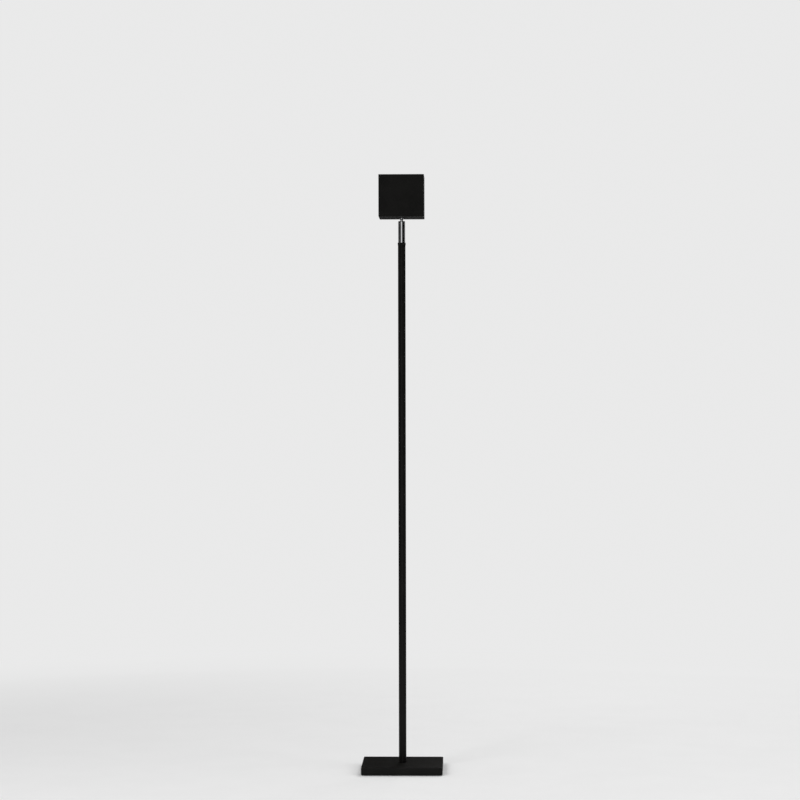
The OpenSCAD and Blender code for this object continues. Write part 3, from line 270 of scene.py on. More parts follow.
metal = {"Metallic": 1.0}
finishes = {   # two colours, how far apart they lie in mm, the range of roughness, the rest
    "black_paint": (   # satin powder coat over steel
        (0.0032, 0.0031, 0.0028, 1), (0.0046, 0.0043, 0.0039, 1), 60, (0.36, 0.46),
        {"dust": 0.02, "worn": (0.06, 0.057, 0.053, 1),
         "grain": ((0.9, 0.006, "noise"), (0.3, 0.002, "noise")),
         "sockets": {"Specular IOR Level": 0.12}}),
    "black_cast": (   # the same coat on a cast box, a little coarser
        (0.0034, 0.0033, 0.003, 1), (0.0047, 0.0045, 0.0041, 1), 45, (0.42, 0.52),
        {"dust": 0.02, "worn": (0.07, 0.07, 0.068, 1),
         "grain": ((0.8, 0.008, "noise"), (0.3, 0.003, "cells")),
         "sockets": {"Specular IOR Level": 0.11}}),
    "black_anodised": ((0.010, 0.010, 0.011, 1), (0.016, 0.016, 0.017, 1), 25, (0.42, 0.55),
        {"worn": (0.3, 0.3, 0.31, 1), "rubShare": 0.35, "grain": ((0.12, 0.002, "noise"),),
         "sockets": {"Metallic": 0.2}}),
    "black_steel": ((0.018, 0.018, 0.019, 1), (0.03, 0.03, 0.031, 1), 12, (0.36, 0.5),
        {"worn": grey(0.22), "grain": ((0.5, 0.004, "noise"),), "sockets": {"Metallic": 0.75}}),
    "chrome": (   # plated and polished, with a trace of handling
        (0.66, 0.665, 0.67, 1), (0.6, 0.605, 0.612, 1), 30, (0.035, 0.085),
        {"fineSize": 6, "grain": ((0.35, 0.0003, "noise"),), "sockets": metal}),
    "zinc_steel": ((0.46, 0.465, 0.47, 1), (0.55, 0.53, 0.44, 1), 8, (0.25, 0.42),
        {"pattern": latheRings, "worn": grey(0.62), "sockets": metal}),
    "brass": ((0.62, 0.44, 0.18, 1), (0.5, 0.34, 0.13, 1), 7, (0.22, 0.38),
        {"pattern": latheRings, "worn": (0.75, 0.6, 0.3, 1), "sockets": metal}),
    "cast_iron": (   # sand-cast skin
        (0.045, 0.045, 0.047, 1), (0.075, 0.07, 0.066, 1), 18, (0.6, 0.8),
        {"grain": ((1.6, 0.12, "cells"), (0.5, 0.05, "noise")), "sockets": {"Metallic": 0.4}}),
    "spring_steel": ((0.3, 0.3, 0.31, 1), (0.22, 0.21, 0.2, 1), 4, (0.22, 0.4),
        {"sockets": metal}),
    "rubber": (grey(0.016), (0.024, 0.024, 0.023, 1), 6, (0.72, 0.88),
        {"dust": 0.05, "grain": ((0.4, 0.02, "noise"),)}),
    "black_plastic": (   # moulded, with a fine spark-eroded texture
        (0.014, 0.014, 0.015, 1), (0.02, 0.02, 0.021, 1), 14, (0.42, 0.58),
        {"grain": ((0.22, 0.008, "cells"),)}),
    "white_plastic": ((0.78, 0.77, 0.73, 1), (0.72, 0.71, 0.66, 1), 12, (0.22, 0.34),
        {"grain": ((0.5, 0.003, "noise"),), "sockets": {"Subsurface Weight": 0.05}}),
    "aluminium": (   # extruded: drawn along the fins
        (0.58, 0.59, 0.6, 1), (0.5, 0.51, 0.52, 1), 14, (0.28, 0.42),
        {"grain": ((0.25, 0.006, "drawn"),), "sockets": metal}),
    "clear_glass": ((0.93, 0.965, 0.955, 1), (0.95, 0.97, 0.965, 1), 40, (0.0, 0.02),
        {"fineSize": 12, "sockets": {"Transmission Weight": 1.0, "IOR": 1.52, "Coat Weight": 0.25,
         "Coat Tint": (0.75, 0.7, 1.0, 1)}}),
    "orange_glass": ((1.0, 0.25, 0.02, 1), (1.0, 0.32, 0.03, 1), 25, (0.03, 0.08),
        {"sockets": {"Transmission Weight": 0.85, "IOR": 1.5}}),
    "heat_pad": ((0.36, 0.42, 0.48, 1), (0.32, 0.38, 0.44, 1), 5, (0.6, 0.75),
        {"pattern": weavePad, "grain": ((0.4, 0.02, "noise"),)}),
    "phosphor": ((0.92, 0.74, 0.16, 1), (0.9, 0.68, 0.12, 1), 3, (0.35, 0.5),
        {"pattern": phosphorFace, "grain": ((0.3, 0.01, "noise"),),
         "sockets": {"Emission Color": (1.0, 0.72, 0.38, 1), "Emission Strength": 5.0}}),
    "circuit_board": ((0.02, 0.11, 0.05, 1), (0.025, 0.13, 0.055, 1), 9, (0.25, 0.35),
        {"pattern": boardTraces, "grain": ((0.6, 0.01, "noise"),)}),
    "cable": ((0.02, 0.02, 0.021, 1), grey(0.028), 10, (0.42, 0.55),
        {"grain": ((0.6, 0.02, "drawn"),)}),
    "red_lead": ((0.42, 0.02, 0.015, 1), (0.36, 0.016, 0.012, 1), 6, (0.35, 0.48),
        {"grain": ((0.5, 0.01, "noise"),)}),
    "copperWire": (   # enamelled winding
        (0.62, 0.22, 0.08, 1), (0.5, 0.16, 0.05, 1), 2, (0.16, 0.28),
        {"sockets": {"Metallic": 0.9, "Coat Weight": 0.5}}),
    "ferrite": ((0.05, 0.05, 0.052, 1), grey(0.07), 2, (0.55, 0.7),
        {"grain": ((0.3, 0.02, "noise"),)}),
    "solder": ((0.62, 0.62, 0.63, 1), (0.52, 0.52, 0.54, 1), 1, (0.2, 0.4),
        {"sockets": metal}),
    "sleeve": (   # shrunk film on the capacitor
        (0.02, 0.03, 0.07, 1), (0.025, 0.035, 0.08, 1), 3, (0.25, 0.35),
        {"grain": ((0.8, 0.01, "noise"),)}),
}
finishes = {name: makeFinish(name, *row) for name, row in finishes.items()}
print("finishes made:", len(finishes))


def addObject(name, data):
    made = bpy.data.objects.new(name, data)
    bpy.context.scene.collection.objects.link(made)
    return made


def newObject(name, bm, spot=upright):
    mesh = bpy.data.meshes.new(name)
    bm.to_mesh(mesh)
    bm.free()
    mesh.transform(spot)
    return addObject(name, mesh)


def moved(piece, spot):
    piece.data.transform(spot)
    piece.data.update()
    return piece


def bake(piece):
    # what the modifiers make becomes the piece's own mesh
    graph = bpy.context.evaluated_depsgraph_get()
    mesh = bpy.data.meshes.new_from_object(piece.evaluated_get(graph))
    mesh.name = piece.name
    old = piece.data
    piece.modifiers.clear()
    piece.data = mesh
    if old.users == 0:
        bpy.data.meshes.remove(old)
    return piece


def carve(piece, tool, operation="DIFFERENCE"):
    cut = piece.modifiers.new("carve", "BOOLEAN")
    cut.object = tool
    cut.operation = operation
    cut.solver = "EXACT"
    bake(piece)
    bpy.data.objects.remove(tool)
    return piece


wearSet = {"widest": 0.8, "from": 5, "over": 10}   # mm, then degrees of bend


def markWear(piece):
    # 1 on the narrow faces that round an outer corner, 0 on flats, read by the finishes
    bm = bmesh.new()
    bm.from_mesh(piece.data)
    layer = bm.faces.layers.float.new("edgeWear")
    for face in bm.faces:
        width = 2 * face.calc_area() / max(face.calc_perimeter(), 1e-9)
        bends = [edge.calc_face_angle(0) for edge in face.edges if edge.is_convex]
        bend = math.degrees(sum(bends) / len(face.edges))
        share = min(1, max(0, (bend - wearSet["from"]) / wearSet["over"]))
        face[layer] = share if width < wearSet["widest"] * mm else 0
    bm.to_mesh(piece.data)
    bm.free()


def finish(piece, node, finishName=None, stands=True, sharp=38):
    # smooth shading, wear, material, and the body, slot and node that the piece stands for
    markWear(piece)
    piece.data.shade_smooth()
    piece.data.set_sharp_from_angle(angle=math.radians(sharp))
    weigh = piece.modifiers.new("weigh", "WEIGHTED_NORMAL")
    weigh.keep_sharp = True
    bake(piece)
    piece.data.materials.clear()
    piece.data.materials.append(finishes[finishName or slotOf[node]])
    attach(piece, bodyOf[node])
    if stands:
        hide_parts(node)
    return piece


def arc(x, y, radius, start, end, steps):
    # points on a circle round (x, y), from one angle to another in degrees
    turns = [math.radians(start + (end - start) * step / steps) for step in range(steps + 1)]
    return [(x + radius * math.cos(turn), y + radius * math.sin(turn)) for turn in turns]


def rounded(outline, radius, steps=3):
    # takes the corners off an outline of (radius, height) points; others pass unchanged
    made = []
    for index, point in enumerate(outline):
        if len(point) > 2 or point[0] < 1e-6:
            made.append(point)
            continue
        here = Vector(point[:2])
        back = Vector(outline[index - 1][:2]) - here
        ahead = Vector(outline[(index + 1) % len(outline)][:2]) - here
        if back.length < 1e-6 or ahead.length < 1e-6 or math.degrees(back.angle(ahead)) > 160:
            made.append(point)
            continue
        reach = min(radius, back.length * 0.45, ahead.length * 0.45)
        start, end = here + back.normalized() * reach, here + ahead.normalized() * reach
        for step in range(steps + 1):
            t = step / steps
            made.append(tuple(start * (1 - t) ** 2 + here * 2 * t * (1 - t) + end * t * t))
    return made


def thread(radius, low, high, pitch, depth, rows=6):
    # points of a threaded run, from low to high; the third number is the groove's depth
    count = max(2, round(abs(high - low) / pitch * rows))
    made = []
    for row in range(count + 1):
        share = row / count
        fade = min(1, share * count / rows, (1 - share) * count / rows)
        made.append((radius, low + (high - low) * share, depth * fade, pitch))
    return made


def grooveAt(point, turn):   # how deep the thread is there, flat on its crest and root
    if len(point) == 2:
        return 0
    phase = (point[1] / point[3] - turn) % 1
    return point[2] * min(1, max(0, 1.3 * abs(2 * phase - 1) - 0.15))


def band(bm, low, high):
    # faces between two rings of vertices; at a pole they become triangles
    for step in range(len(low)):
        after = (step + 1) % len(low)
        corners = dict.fromkeys((low[step], low[after], high[after], high[step]))
        if len(corners) > 2:
            bm.faces.new(list(corners))


def revolve(name, outline, steps=96, spot=upright):
    # a closed solid from an outline of (radius, height); one that touches the axis is capped
    bm = bmesh.new()
    rings = []
    for point in outline:
        radius, height = point[0], point[1] * mm
        if radius < 1e-6:
            rings.append([bm.verts.new((0, 0, height))] * steps)
            continue
        ring = []
        for step in range(steps):
            r = (radius - grooveAt(point, step / steps)) * mm
            angle = 2 * math.pi * step / steps
            ring.append(bm.verts.new((r * math.cos(angle), r * math.sin(angle), height)))
        rings.append(ring)
    if outline[0][0] > 1e-6 or outline[-1][0] > 1e-6:
        rings.append(rings[0])
    for low, high in zip(rings, rings[1:]):
        band(bm, low, high)
    bmesh.ops.recalc_face_normals(bm, faces=bm.faces)
    return newObject(name, bm, spot)


def capped(name, bm, rings, spot):
    # a closed solid through rings of vertices, with a face on the first and on the last
    for low, high in zip(rings, rings[1:]):
        band(bm, low, high)
    bm.faces.new(rings[0])
    bm.faces.new(rings[-1])
    bmesh.ops.recalc_face_normals(bm, faces=bm.faces)
    return newObject(name, bm, spot)


def squareSolid(name, width, depth, radius, path, innerRadius=0.3, spot=upright):
    # sweeps (inset, height) points round a rectangle with round corners; both ends are capped
    bm = bmesh.new()
    rings = []
    for inset, height in path:
        corner = max(radius - inset, innerRadius)
        x, y = width / 2 - inset - corner, depth / 2 - inset - corner
        ring = [point for turn, sx, sy in ((0, 1, 1), (90, -1, 1), (180, -1, -1), (270, 1, -1))
                for point in arc(sx * x, sy * y, corner, turn, turn + 90, 8)]
        rings.append([bm.verts.new((x * mm, y * mm, height * mm)) for x, y in ring])
    return capped(name, bm, rings, spot)


def prism(name, outline, axis, low, high):
    # a closed prism; the outline's two numbers fill the axes other than the one it runs along
    bm = bmesh.new()
    return capped(name, bm, [
        [bm.verts.new([value * mm for value in (*point[:axis], at, *point[axis:])])
         for point in outline] for at in (low, high)], upright)


def barAt(bm, radius, low, high, x=0.0, y=0.0, sides=48):
    # adds a closed round bar
    made = bmesh.ops.create_cone(bm, cap_ends=True, segments=sides, radius1=radius * mm,
                                 radius2=radius * mm, depth=(high - low) * mm)
    bmesh.ops.translate(bm, verts=made["verts"], vec=(x * mm, y * mm, (low + high) / 2 * mm))


def boxAt(bm, low, high):
    made = bmesh.ops.create_cube(bm, size=1)
    bmesh.ops.scale(bm, verts=made["verts"], vec=[(b - a) * mm for a, b in zip(low, high)])
    bmesh.ops.translate(bm, verts=made["verts"],
                        vec=[(a + b) / 2 * mm for a, b in zip(low, high)])


def bars(piece, sizes, spot=upright, operation="DIFFERENCE"):
    # cuts round holes in a piece, or joins posts to it; each has radius, low, high, x, y, sides
    bm = bmesh.new()
    for size in sizes:
        barAt(bm, *size)
    return carve(piece, newObject("bars", bm, spot), operation)


def slit(piece, low, high):
    bm = bmesh.new()
    boxAt(bm, low, high)
    return carve(piece, newObject("slit", bm))


def bevel(bm, edges, width, steps=2):
    bmesh.ops.bevel(bm, geom=edges, offset=width * mm, offset_type="OFFSET", segments=steps,
                    profile=0.5, affect="EDGES", clamp_overlap=True)


def sharpEdges(bm, least):
    return [edge for edge in bm.edges
            if edge.is_manifold and math.degrees(edge.calc_face_angle(0)) > least]


def turned(node, outline, steps=96, spot=upright, sharp=38):
    return finish(revolve(pieceName(node), outline, steps, spot), node, sharp=sharp)


def chamfered(r, low, high, chamfer):   # outer points of a disc or tube with both edges broken
    return [(r - chamfer, low), (r, low + chamfer), (r, high - chamfer), (r - chamfer, high)]


def startTree(name, output, inputs):
    # a Geometry Nodes tree with named inputs, and a wire from each of them
    tree = bpy.data.node_groups.new(name, "GeometryNodeTree")
    for label, kind, default in inputs:
        socket = tree.interface.new_socket(name=label, in_out="INPUT",
                                           socket_type="NodeSocket" + kind)
        if default is not None:
            socket.default_value = default
    tree.interface.new_socket(name=output, in_out="OUTPUT", socket_type="NodeSocketGeometry")
    given = tree.nodes.new("NodeGroupInput")
    return tree, [Wire(tree, given.outputs[label]) for label, _, _ in inputs]


def endTree(tree, shape, material):
    real = shape.node("GeometryNodeRealizeInstances", None, {"Geometry": shape})
    dressed = shape.node("GeometryNodeSetMaterial", None,
                         {"Geometry": real, "Material": material})
    shape.node("NodeGroupOutput", None, {0: dressed})
    return tree


def runTree(piece, tree, values):
    # puts a Geometry Nodes tree on a piece, sets its named inputs and keeps the plain mesh
    run = piece.modifiers.new(tree.name, "NODES")
    run.node_group = tree
    names = {item.name: item.identifier for item in tree.interface.items_tree
             if item.item_type == "SOCKET" and item.in_out == "INPUT"}
    for name, value in values.items():
        run[names[name]] = value
    piece.update_tag()
    return bake(piece)


def gridTree():
    # copies the piece over a grid of columns and rows, centred on where it stands
    tree, (piece, columns, rows, columnGap, rowGap, material) = startTree(
        "copiesInGrid", "Copies", (
            ("Piece", "Geometry", None), ("Columns", "Int", 2), ("Rows", "Int", 2),
            ("Column Gap", "Float", 0.1), ("Row Gap", "Float", 0.1),
            ("Finish", "Material", None)))
    index = piece.node("GeometryNodeInputIndex")
    column = index % columns
    row = index.calc("FLOOR", index / columns)
    spot = index.node("ShaderNodeCombineXYZ", None,
                      {0: (column - (columns - 1) * 0.5) * columnGap,
                       1: (row - (rows - 1) * 0.5) * rowGap})
    points = index.node("GeometryNodePoints", None, {"Count": columns * rows, "Position": spot})
    copies = index.node("GeometryNodeInstanceOnPoints", None,
                        {"Points": points, "Instance": piece})
    return endTree(tree, copies, material)


def windingTree():
    # a wire wound round Z, with flat turns at both ends
    tree, (_, wire, coil, height, turns, flat, count, material) = startTree(
        "windWire", "Winding", (
            ("Start", "Geometry", None), ("Wire Diameter", "Float", 0.001),
            ("Coil Diameter", "Float", 0.01), ("Height", "Float", 0.02), ("Turns", "Float", 6.0),
            ("Flat Turns", "Float", 0.6), ("Points", "Int", 200), ("Finish", "Material", None)))
    line = wire.node("GeometryNodeCurvePrimitiveLine")
    cut = line.node("GeometryNodeResampleCurve", None, {"Curve": line, "Count": count})
    turn = line.node("GeometryNodeSplineParameter", out="Factor") * turns
    rise = turn.node("ShaderNodeMapRange", {"interpolation_type": "LINEAR"},
                     {"Value": turn, "From Min": flat, "From Max": turns - flat})
    angle = turn * (2 * math.pi)
    radius = (coil - wire) * 0.5
    spot = line.node("ShaderNodeCombineXYZ", None,
                     {0: radius * angle.calc("COSINE", angle),
                      1: radius * angle.calc("SINE", angle),
                      2: wire * 0.5 + (height - wire) * rise})
    path = line.node("GeometryNodeSetPosition", None, {"Geometry": cut, "Position": spot})
    section = line.node("GeometryNodeCurvePrimitiveCircle", None,
                        {"Resolution": 12, "Radius": wire * 0.5})
    tube = line.node("GeometryNodeCurveToMesh", None,
                     {"Curve": path, "Profile Curve": section, "Fill Caps": True})
    return endTree(tree, tube, material)


copiesInGrid = gridTree()
windWire = windingTree()


def inGrid(piece, columns, rows, columnGap, rowGap, finishName):
    return runTree(piece, copiesInGrid, {
        "Columns": columns, "Rows": rows, "Column Gap": columnGap * mm, "Row Gap": rowGap * mm,
        "Finish": finishes[finishName]})


def wound(name, wire, coil, height, turns, flat, points, finishName):
    return runTree(newObject(name, bmesh.new()), windWire, {
        "Wire Diameter": wire * mm, "Coil Diameter": coil * mm, "Height": height * mm,
        "Turns": float(turns), "Flat Turns": flat, "Points": points,
        "Finish": finishes[finishName]})


# base
coverSet = {"corner": 6, "edge": 1.2, "wall": 1.5, "rim": 0.4, "fine": 0.12, "steps": 5,
            "poleHole": 5.05, "socketHole": 5.1}


def makeBaseCover():
    (left, back, low), (right, front, high) = boxOf("base_cover")
    edge, wall, rim, fine = (coverSet[key] for key in ("edge", "wall", "rim", "fine"))
    path = [(edge + rim, high)] + arc(edge, high - edge, edge, 90, 180, coverSet["steps"])
    path += [(0, low + rim), (fine, low + fine), (rim, low), (wall - rim, low),
             (wall - fine, low + fine), (wall, low + rim), (wall, high - wall - rim),
             (wall + rim, high - wall)]
    cover = squareSolid("baseCover", right - left, front - back, coverSet["corner"], path,
                        coverSet["corner"] - wall)
    bars(cover, [(coverSet["poleHole"], high - 5, high + 5)])
    bars(cover, [(coverSet["socketHole"], front - 4, front + 4)],
         moveBy(0, 0, sum(heights("socket_pin")) / 2) @ turnBy(-90, "X"))
    return finish(cover, "base_cover")


footSet = {"radius": 9, "chamfer": 0.6, "grooves": (6.4, 3.9), "grooveWidth": 1.1,
           "grooveDepth": 0.5, "edge": 0.25}


def makeFeet():
    (left, _, _), (right, _, tall) = boxOf("feet")
    r, chamfer, deep = footSet["radius"], footSet["chamfer"], footSet["grooveDepth"]
    half = footSet["grooveWidth"] / 2
    outline = [(0, tall), (r, tall), (r, chamfer), (r - chamfer, 0)]
    for middle in footSet["grooves"]:   # rings in the underside
        outline += [(middle + half, 0), (middle + half * 0.6, deep),
                    (middle - half * 0.6, deep), (middle - half, 0)]
    outline.append((0, 0))
    feet = revolve("rubberFeet", rounded(outline, footSet["edge"], 2), 64)
    spread = right - left - 2 * r
    inGrid(feet, 2, 2, spread, spread, "rubber")
    return finish(feet, "feet")


makeBaseCover()
makeFeet()

screwShape = {   # shares of the diameter, the heads as (radius, height) from their top
    "head": 0.45, "width": 1.9, "key": 0.375, "keyReach": (-0.75, 0.25),
    "flushHead": ((0, 0), (0.93, 0), (0.95, 0.05), (0.5, 0.48)), "flushLow": 0.55,
    "domeHead": ((0, -0.45), (0.5, -0.45), (0.74, -0.41), (0.88, -0.32), (0.945, -0.2),
                 (0.95, -0.05), (0.92, 0), (0.5, 0)), "domeLow": 0.12,
    "threadDepth": 0.56, "tip": 0.36, "runOut": 0.3}   # the thread's depth: a share of the pitch
screwSets = {   # node: diameter, length, pitch, countersunk, columns, rows, where it points
    "bottom_plate_screws": (4, 9.2, 0.7, False, 2, 2, "up"),
    "front_plate_screws": (3, 11, 0.5, True, 2, 2, "back"),
    "heat_sink_screws": (3, 12, 0.5, False, 2, 2, "back"),
    "holder_screws": (3, 8, 0.5, False, 1, 2, "back"),
    "driver_screws": (3, 6.1, 0.5, False, 2, 1, "aside"),
    "barrel_screws": (2.5, 4.1, 0.45, False, 2, 2, "front"),
}
screwWays = {   # a turn and its axis, then the axes of the shank, the columns and the rows
    "up": (0, "X", 2, 0, 1), "back": (90, "X", 1, 0, 2), "front": (-90, "X", 1, 0, 2),
    "aside": (90, "Y", 0, 2, 1)}


def makeScrew(name, d, length, pitch, flush):
    # head at the start, shank along +Z, a hexagonal recess for the key
    s = screwShape
    kind = "flush" if flush else "dome"
    outline = [(r * d, height * d) for r, height in s[kind + "Head"]]
    top, low, shank = outline[0][1], s[kind + "Low"] * d, 0.5 * d - 0.02
    outline += [(shank, low - 0.02)] + thread(
        shank, low, length - s["runOut"] * d, pitch, s["threadDepth"] * pitch, 5)
    outline += [(s["tip"] * d, length), (0, length)]
    keyLow, keyHigh = (top + share * d for share in s["keyReach"])
    return bars(revolve(name, outline, 32), [(s["key"] * d, keyLow, keyHigh, 0, 0, 6)])


def makeScrews():
    for node, (d, length, pitch, flush, columns, rows, way) in screwSets.items():
        turn, axis, shank, across, along = screwWays[way]
        low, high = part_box(node)
        spot = (low + high) / 2
        proud = 0 if flush else screwShape["head"] * d * mm
        spot[shank] = high[shank] - proud if way == "back" else low[shank] + proud
        size = (high - low) / mm
        gaps = [size[side] - screwShape["width"] * d for side in (across, along)]
        screw = makeScrew(pieceName(node), d, length, pitch, flush)
        screws = inGrid(screw, columns, rows, *gaps, slotOf[node])
        finish(moved(screws, Matrix.Translation(spot) @ turnBy(turn, axis)), node)
    print("screws made:", len(screwSets), "sets")


makeScrews()

softSet = {"flat": 0.4, "sharp": 35}   # degrees
softEdges = {   # node: radius of the broken edge in mm
    "base_weight": 0.6, "bottom_plate": 0.25, "socket_body": 0.25, "foot_washer": 0.15,
    "foot_nut": 0.3, "foot_plug": 0.3, "pole_cap": 0.3, "slip_washer": 0.12,
    "friction_washer": 0.15, "pan_nut": 0.2, "stop_pin": 0.2, "swivel_plug": 0.3, "ball_seat": 0.2,
    "stem_washer": 0.15, "stem_nut": 0.3, "stem_grommet": 0.12, "front_plate": 0.3,
    "lens_retainer": 0.2, "condenser_ring": 0.15, "reflector_holder": 0.25, "filter_ring": 0.12,
    "driver_board": 0.12, "emitter_board": 0.12, "stem_collar": 0.3}


def makeSoftCopies():
    # CAD solids with their edges broken by a small radius
    for node, width in softEdges.items():
        bm = bmesh.new()
        bm.from_mesh(cadNodes[node].data)
        bmesh.ops.remove_doubles(bm, verts=bm.verts, dist=1e-6)
        bmesh.ops.dissolve_limit(bm, angle_limit=math.radians(softSet["flat"]), verts=bm.verts,
                                 edges=bm.edges)
        bevel(bm, sharpEdges(bm, softSet["sharp"]), width)
        bmesh.ops.dissolve_degenerate(bm, dist=1e-7, edges=bm.edges)
        finish(newObject(pieceName(node), bm), node)
    print("CAD solids with broken edges:", len(softEdges))


makeSoftCopies()

# pole
poleSet = {"wall": 1.2, "seam": 0.25, "edge": 0.12, "plug": 8.78, "bore": 4.5, "chamfer": 0.4,
           "joiner": 7, "grip": 24, "threadPitch": 1.5, "threadDepth": 0.55}


def makeTubes():
    for node in ("lower_tube", "middle_tube", "upper_tube"):
        (_, _, low), (r, _, high) = boxOf(node)
        inner = r - poleSet["wall"]
        outline = chamfered(r, low, high, poleSet["seam"]) + [(inner, high), (inner, low)]
        turned(node, rounded(outline, poleSet["edge"], 2))


def makeJoiners():
    plug, bore, chamfer, joiner = (poleSet[key] for key in ("plug", "bore", "chamfer", "joiner"))
    pitch, depth = poleSet["threadPitch"], poleSet["threadDepth"]
    joiners = ("lower_joiner", "upper_joiner")
    for node in joiners:
        low, high = heights(node)
        seam = low + poleSet["grip"]
        outline = [(bore, low), (plug - chamfer, low), (plug, low + chamfer), (plug, seam - 0.2),
                   (plug - 0.2, seam), (joiner - depth, seam)]
        outline += thread(joiner, seam + 0.3, high - 1, pitch, depth)
        turned(node, outline + [(joiner - 1, high), (bore, high)], 64)
    for node in joiners:
        low, high = heights(node + "_nut")
        turned(node + "_nut", chamfered(plug, low, high, chamfer)
               + thread(joiner + 0.02, high, low, pitch, -depth), 64)


nippleSet = {"radius": 5, "pitch": 1, "groove": 0.45, "chamfer": 0.4, "footBore": 3.5,
             "panBore": 2.5, "shoulder": 13.5, "journal": 4, "finePitch": 0.75,
             "fineGroove": 0.3}


def makeNipples():
    r, pitch, groove, chamfer, footBore, panBore, upTo, journal, finePitch, fineGroove = \
        nippleSet.values()
    low, high = heights("foot_nipple")
    outline = [(footBore, low), (r - chamfer, low)]
    outline += thread(r, low + chamfer, high - chamfer, pitch, groove)
    turned("foot_nipple", outline + [(r - chamfer, high), (footBore, high)], 64)
    low, high = heights("pan_nipple")
    shoulder, nutLow = low + upTo, heights("pan_nut")[0]
    outline = [(panBore, low), (r - chamfer, low)]
    outline += thread(r, low + chamfer, shoulder - chamfer, pitch, groove)
    outline += [(r, shoulder), (journal, shoulder), (journal, nutLow - 1)]
    outline += thread(journal, nutLow - 0.8, high - 0.3, finePitch, fineGroove)
    turned("pan_nipple", outline + [(journal - 0.3, high), (panBore, high)], 64)


makeTubes()
makeJoiners()
makeNipples()
print("pole made")

# ball joint
jointSet = {"radius": 9.15, "bore": 7.6, "shoulder": 1.6, "mouth": 5.6, "ballDepth": 8.5,
            "ball": 7.5, "gap": 0.05, "slot": 3.7, "slotEdge": 0.18, "lean": 15, "reach": 20}
stemSet = {"neck": 3.5, "stem": 5, "bore": 2, "clear": 0.3, "flare": 1.2, "cableSlot": 1.9,
           "slotReach": 8.4, "slotFrom": -110, "slotTo": 5,   # forward is 0, up is 90 degrees
           "pitch": 1, "groove": 0.45}
springSet = {"wire": 1.2, "coil": 15.0, "turns": 6, "flat": 0.6, "points": 241}
ballZ = heights("joint_body")[1] - jointSet["ballDepth"]


def makeJointBody():
    low, high = heights("joint_body")
    r, bore, shoulder, mouth, ballDepth, ball, gap, slot, slotEdge, lean, reach = \
        jointSet.values()
    ball += gap
    lean = math.radians(lean)
    lip = ballZ + math.sqrt(ball ** 2 - mouth ** 2)   # the mouth's edge over the ball
    mouthTop = max(mouth, ballDepth * math.tan(lean) + stemSet["neck"] / math.cos(lean) + 0.5)
    outline = [(bore, low), (r - 0.2, low), (r, low + 0.2)]
    outline += arc(r - shoulder, high - shoulder, shoulder, 0, 90, 8)
    outline += [(mouthTop + 0.3, high), (mouthTop + 0.08, high - 0.1), (mouthTop, high - 0.35),
                (mouth, lip + 0.4), (mouth, lip)]
    outline += arc(0, ballZ, ball, math.degrees(math.acos(mouth / ball)), 0, 12)[1:]
    body = revolve("jointBody", outline + [(bore, ballZ)], 128)
    top = ballZ + reach   # the slot is round at its foot and open at its top
    shape = arc(0, ballZ, slot, 180, 360, 24) + [(slot, top), (-slot, top)]
    carve(body, prism("slotTool", shape, 1, 0, reach))
    bm = bmesh.new()
    bm.from_mesh(body.data)
    bmesh.ops.remove_doubles(bm, verts=bm.verts, dist=1e-6)
    bevel(bm, [edge for edge in sharpEdges(bm, 40) if all(
        vertex.co.y > 0 and abs(abs(vertex.co.x) - slot * mm) < 4 * mm
        and vertex.co.z > (ballZ - 4) * mm for vertex in edge.verts)], slotEdge)
    bm.to_mesh(body.data)
    bm.free()
    return finish(body, "joint_body")


def makeBallStem():
    high = heights("ball_stem")[1]
    neck, stem, bore, clear, flare, half, reach, start, end, pitch, groove = stemSet.values()
    ball, shoulder = jointSet["ball"], jointSet["shoulder"]
    # the neck stays thin as far as the joint body's corner swings
    neckEnd = ballZ + shoulder + clear + math.hypot(jointSet["radius"] - shoulder,
                                                    jointSet["ballDepth"] - shoulder)
    flareEnd = neckEnd + flare
    outline = [(0, ballZ - ball)]
    outline += arc(0, ballZ, ball, -90, 90 - math.degrees(math.asin(neck / ball)), 40)[1:]
    outline += [(neck, neckEnd - 0.3), (neck + 0.08, neckEnd), (stem - 0.25, flareEnd - 0.2),
                (stem, flareEnd + 0.1)]
    outline += thread(stem, flareEnd + 0.4, high - 0.4, pitch, groove)
    piece = revolve("ballStem", outline + [(stem - 0.4, high), (0, high)])
    bars(piece, [(bore, ballZ, high + 2)])
    outer = arc(0, ballZ, reach, start, end, 12)
    for index, turn, side in ((0, start, -1), (12, end, 1)):   # the slot's two straight ends
        y, z = outer[index]
        outer[index] = (y - side * half * math.sin(math.radians(turn)),
                        z + side * half * math.cos(math.radians(turn)))
    shape = arc(0, ballZ, half, end + 90, start + 270, 12) + outer
    carve(piece, prism("cableSlotTool", shape, 0, -half, half))
    return finish(piece, "ball_stem")


def makeSpring():
    low, high = heights("joint_spring")
    wire, coil, turns, flat, points = springSet.values()
    spring = wound("jointSpring", wire, coil, high - low, turns, flat, points, "spring_steel")
    return finish(moved(spring, moveBy(0, 0, low)), "joint_spring")


makeJointBody()
makeBallStem()
makeSpring()
print("ball joint made")

# head
housingSet = {"edge": 1.2, "wall": 2.5, "inner": 1.0, "rim": 0.35, "post": 5, "postInset": 4.6,
              "boss": 4, "bossAt": (42, 38), "bossTall": 16.5, "postHole": 1.5,
              "postDepth": 9.5, "bossDepth": 8.5, "standoff": 3, "stemHole": 5.05}


def corners(x, z):
    return [(sx * x, sz * z) for sx in (-1, 1) for sz in (-1, 1)]


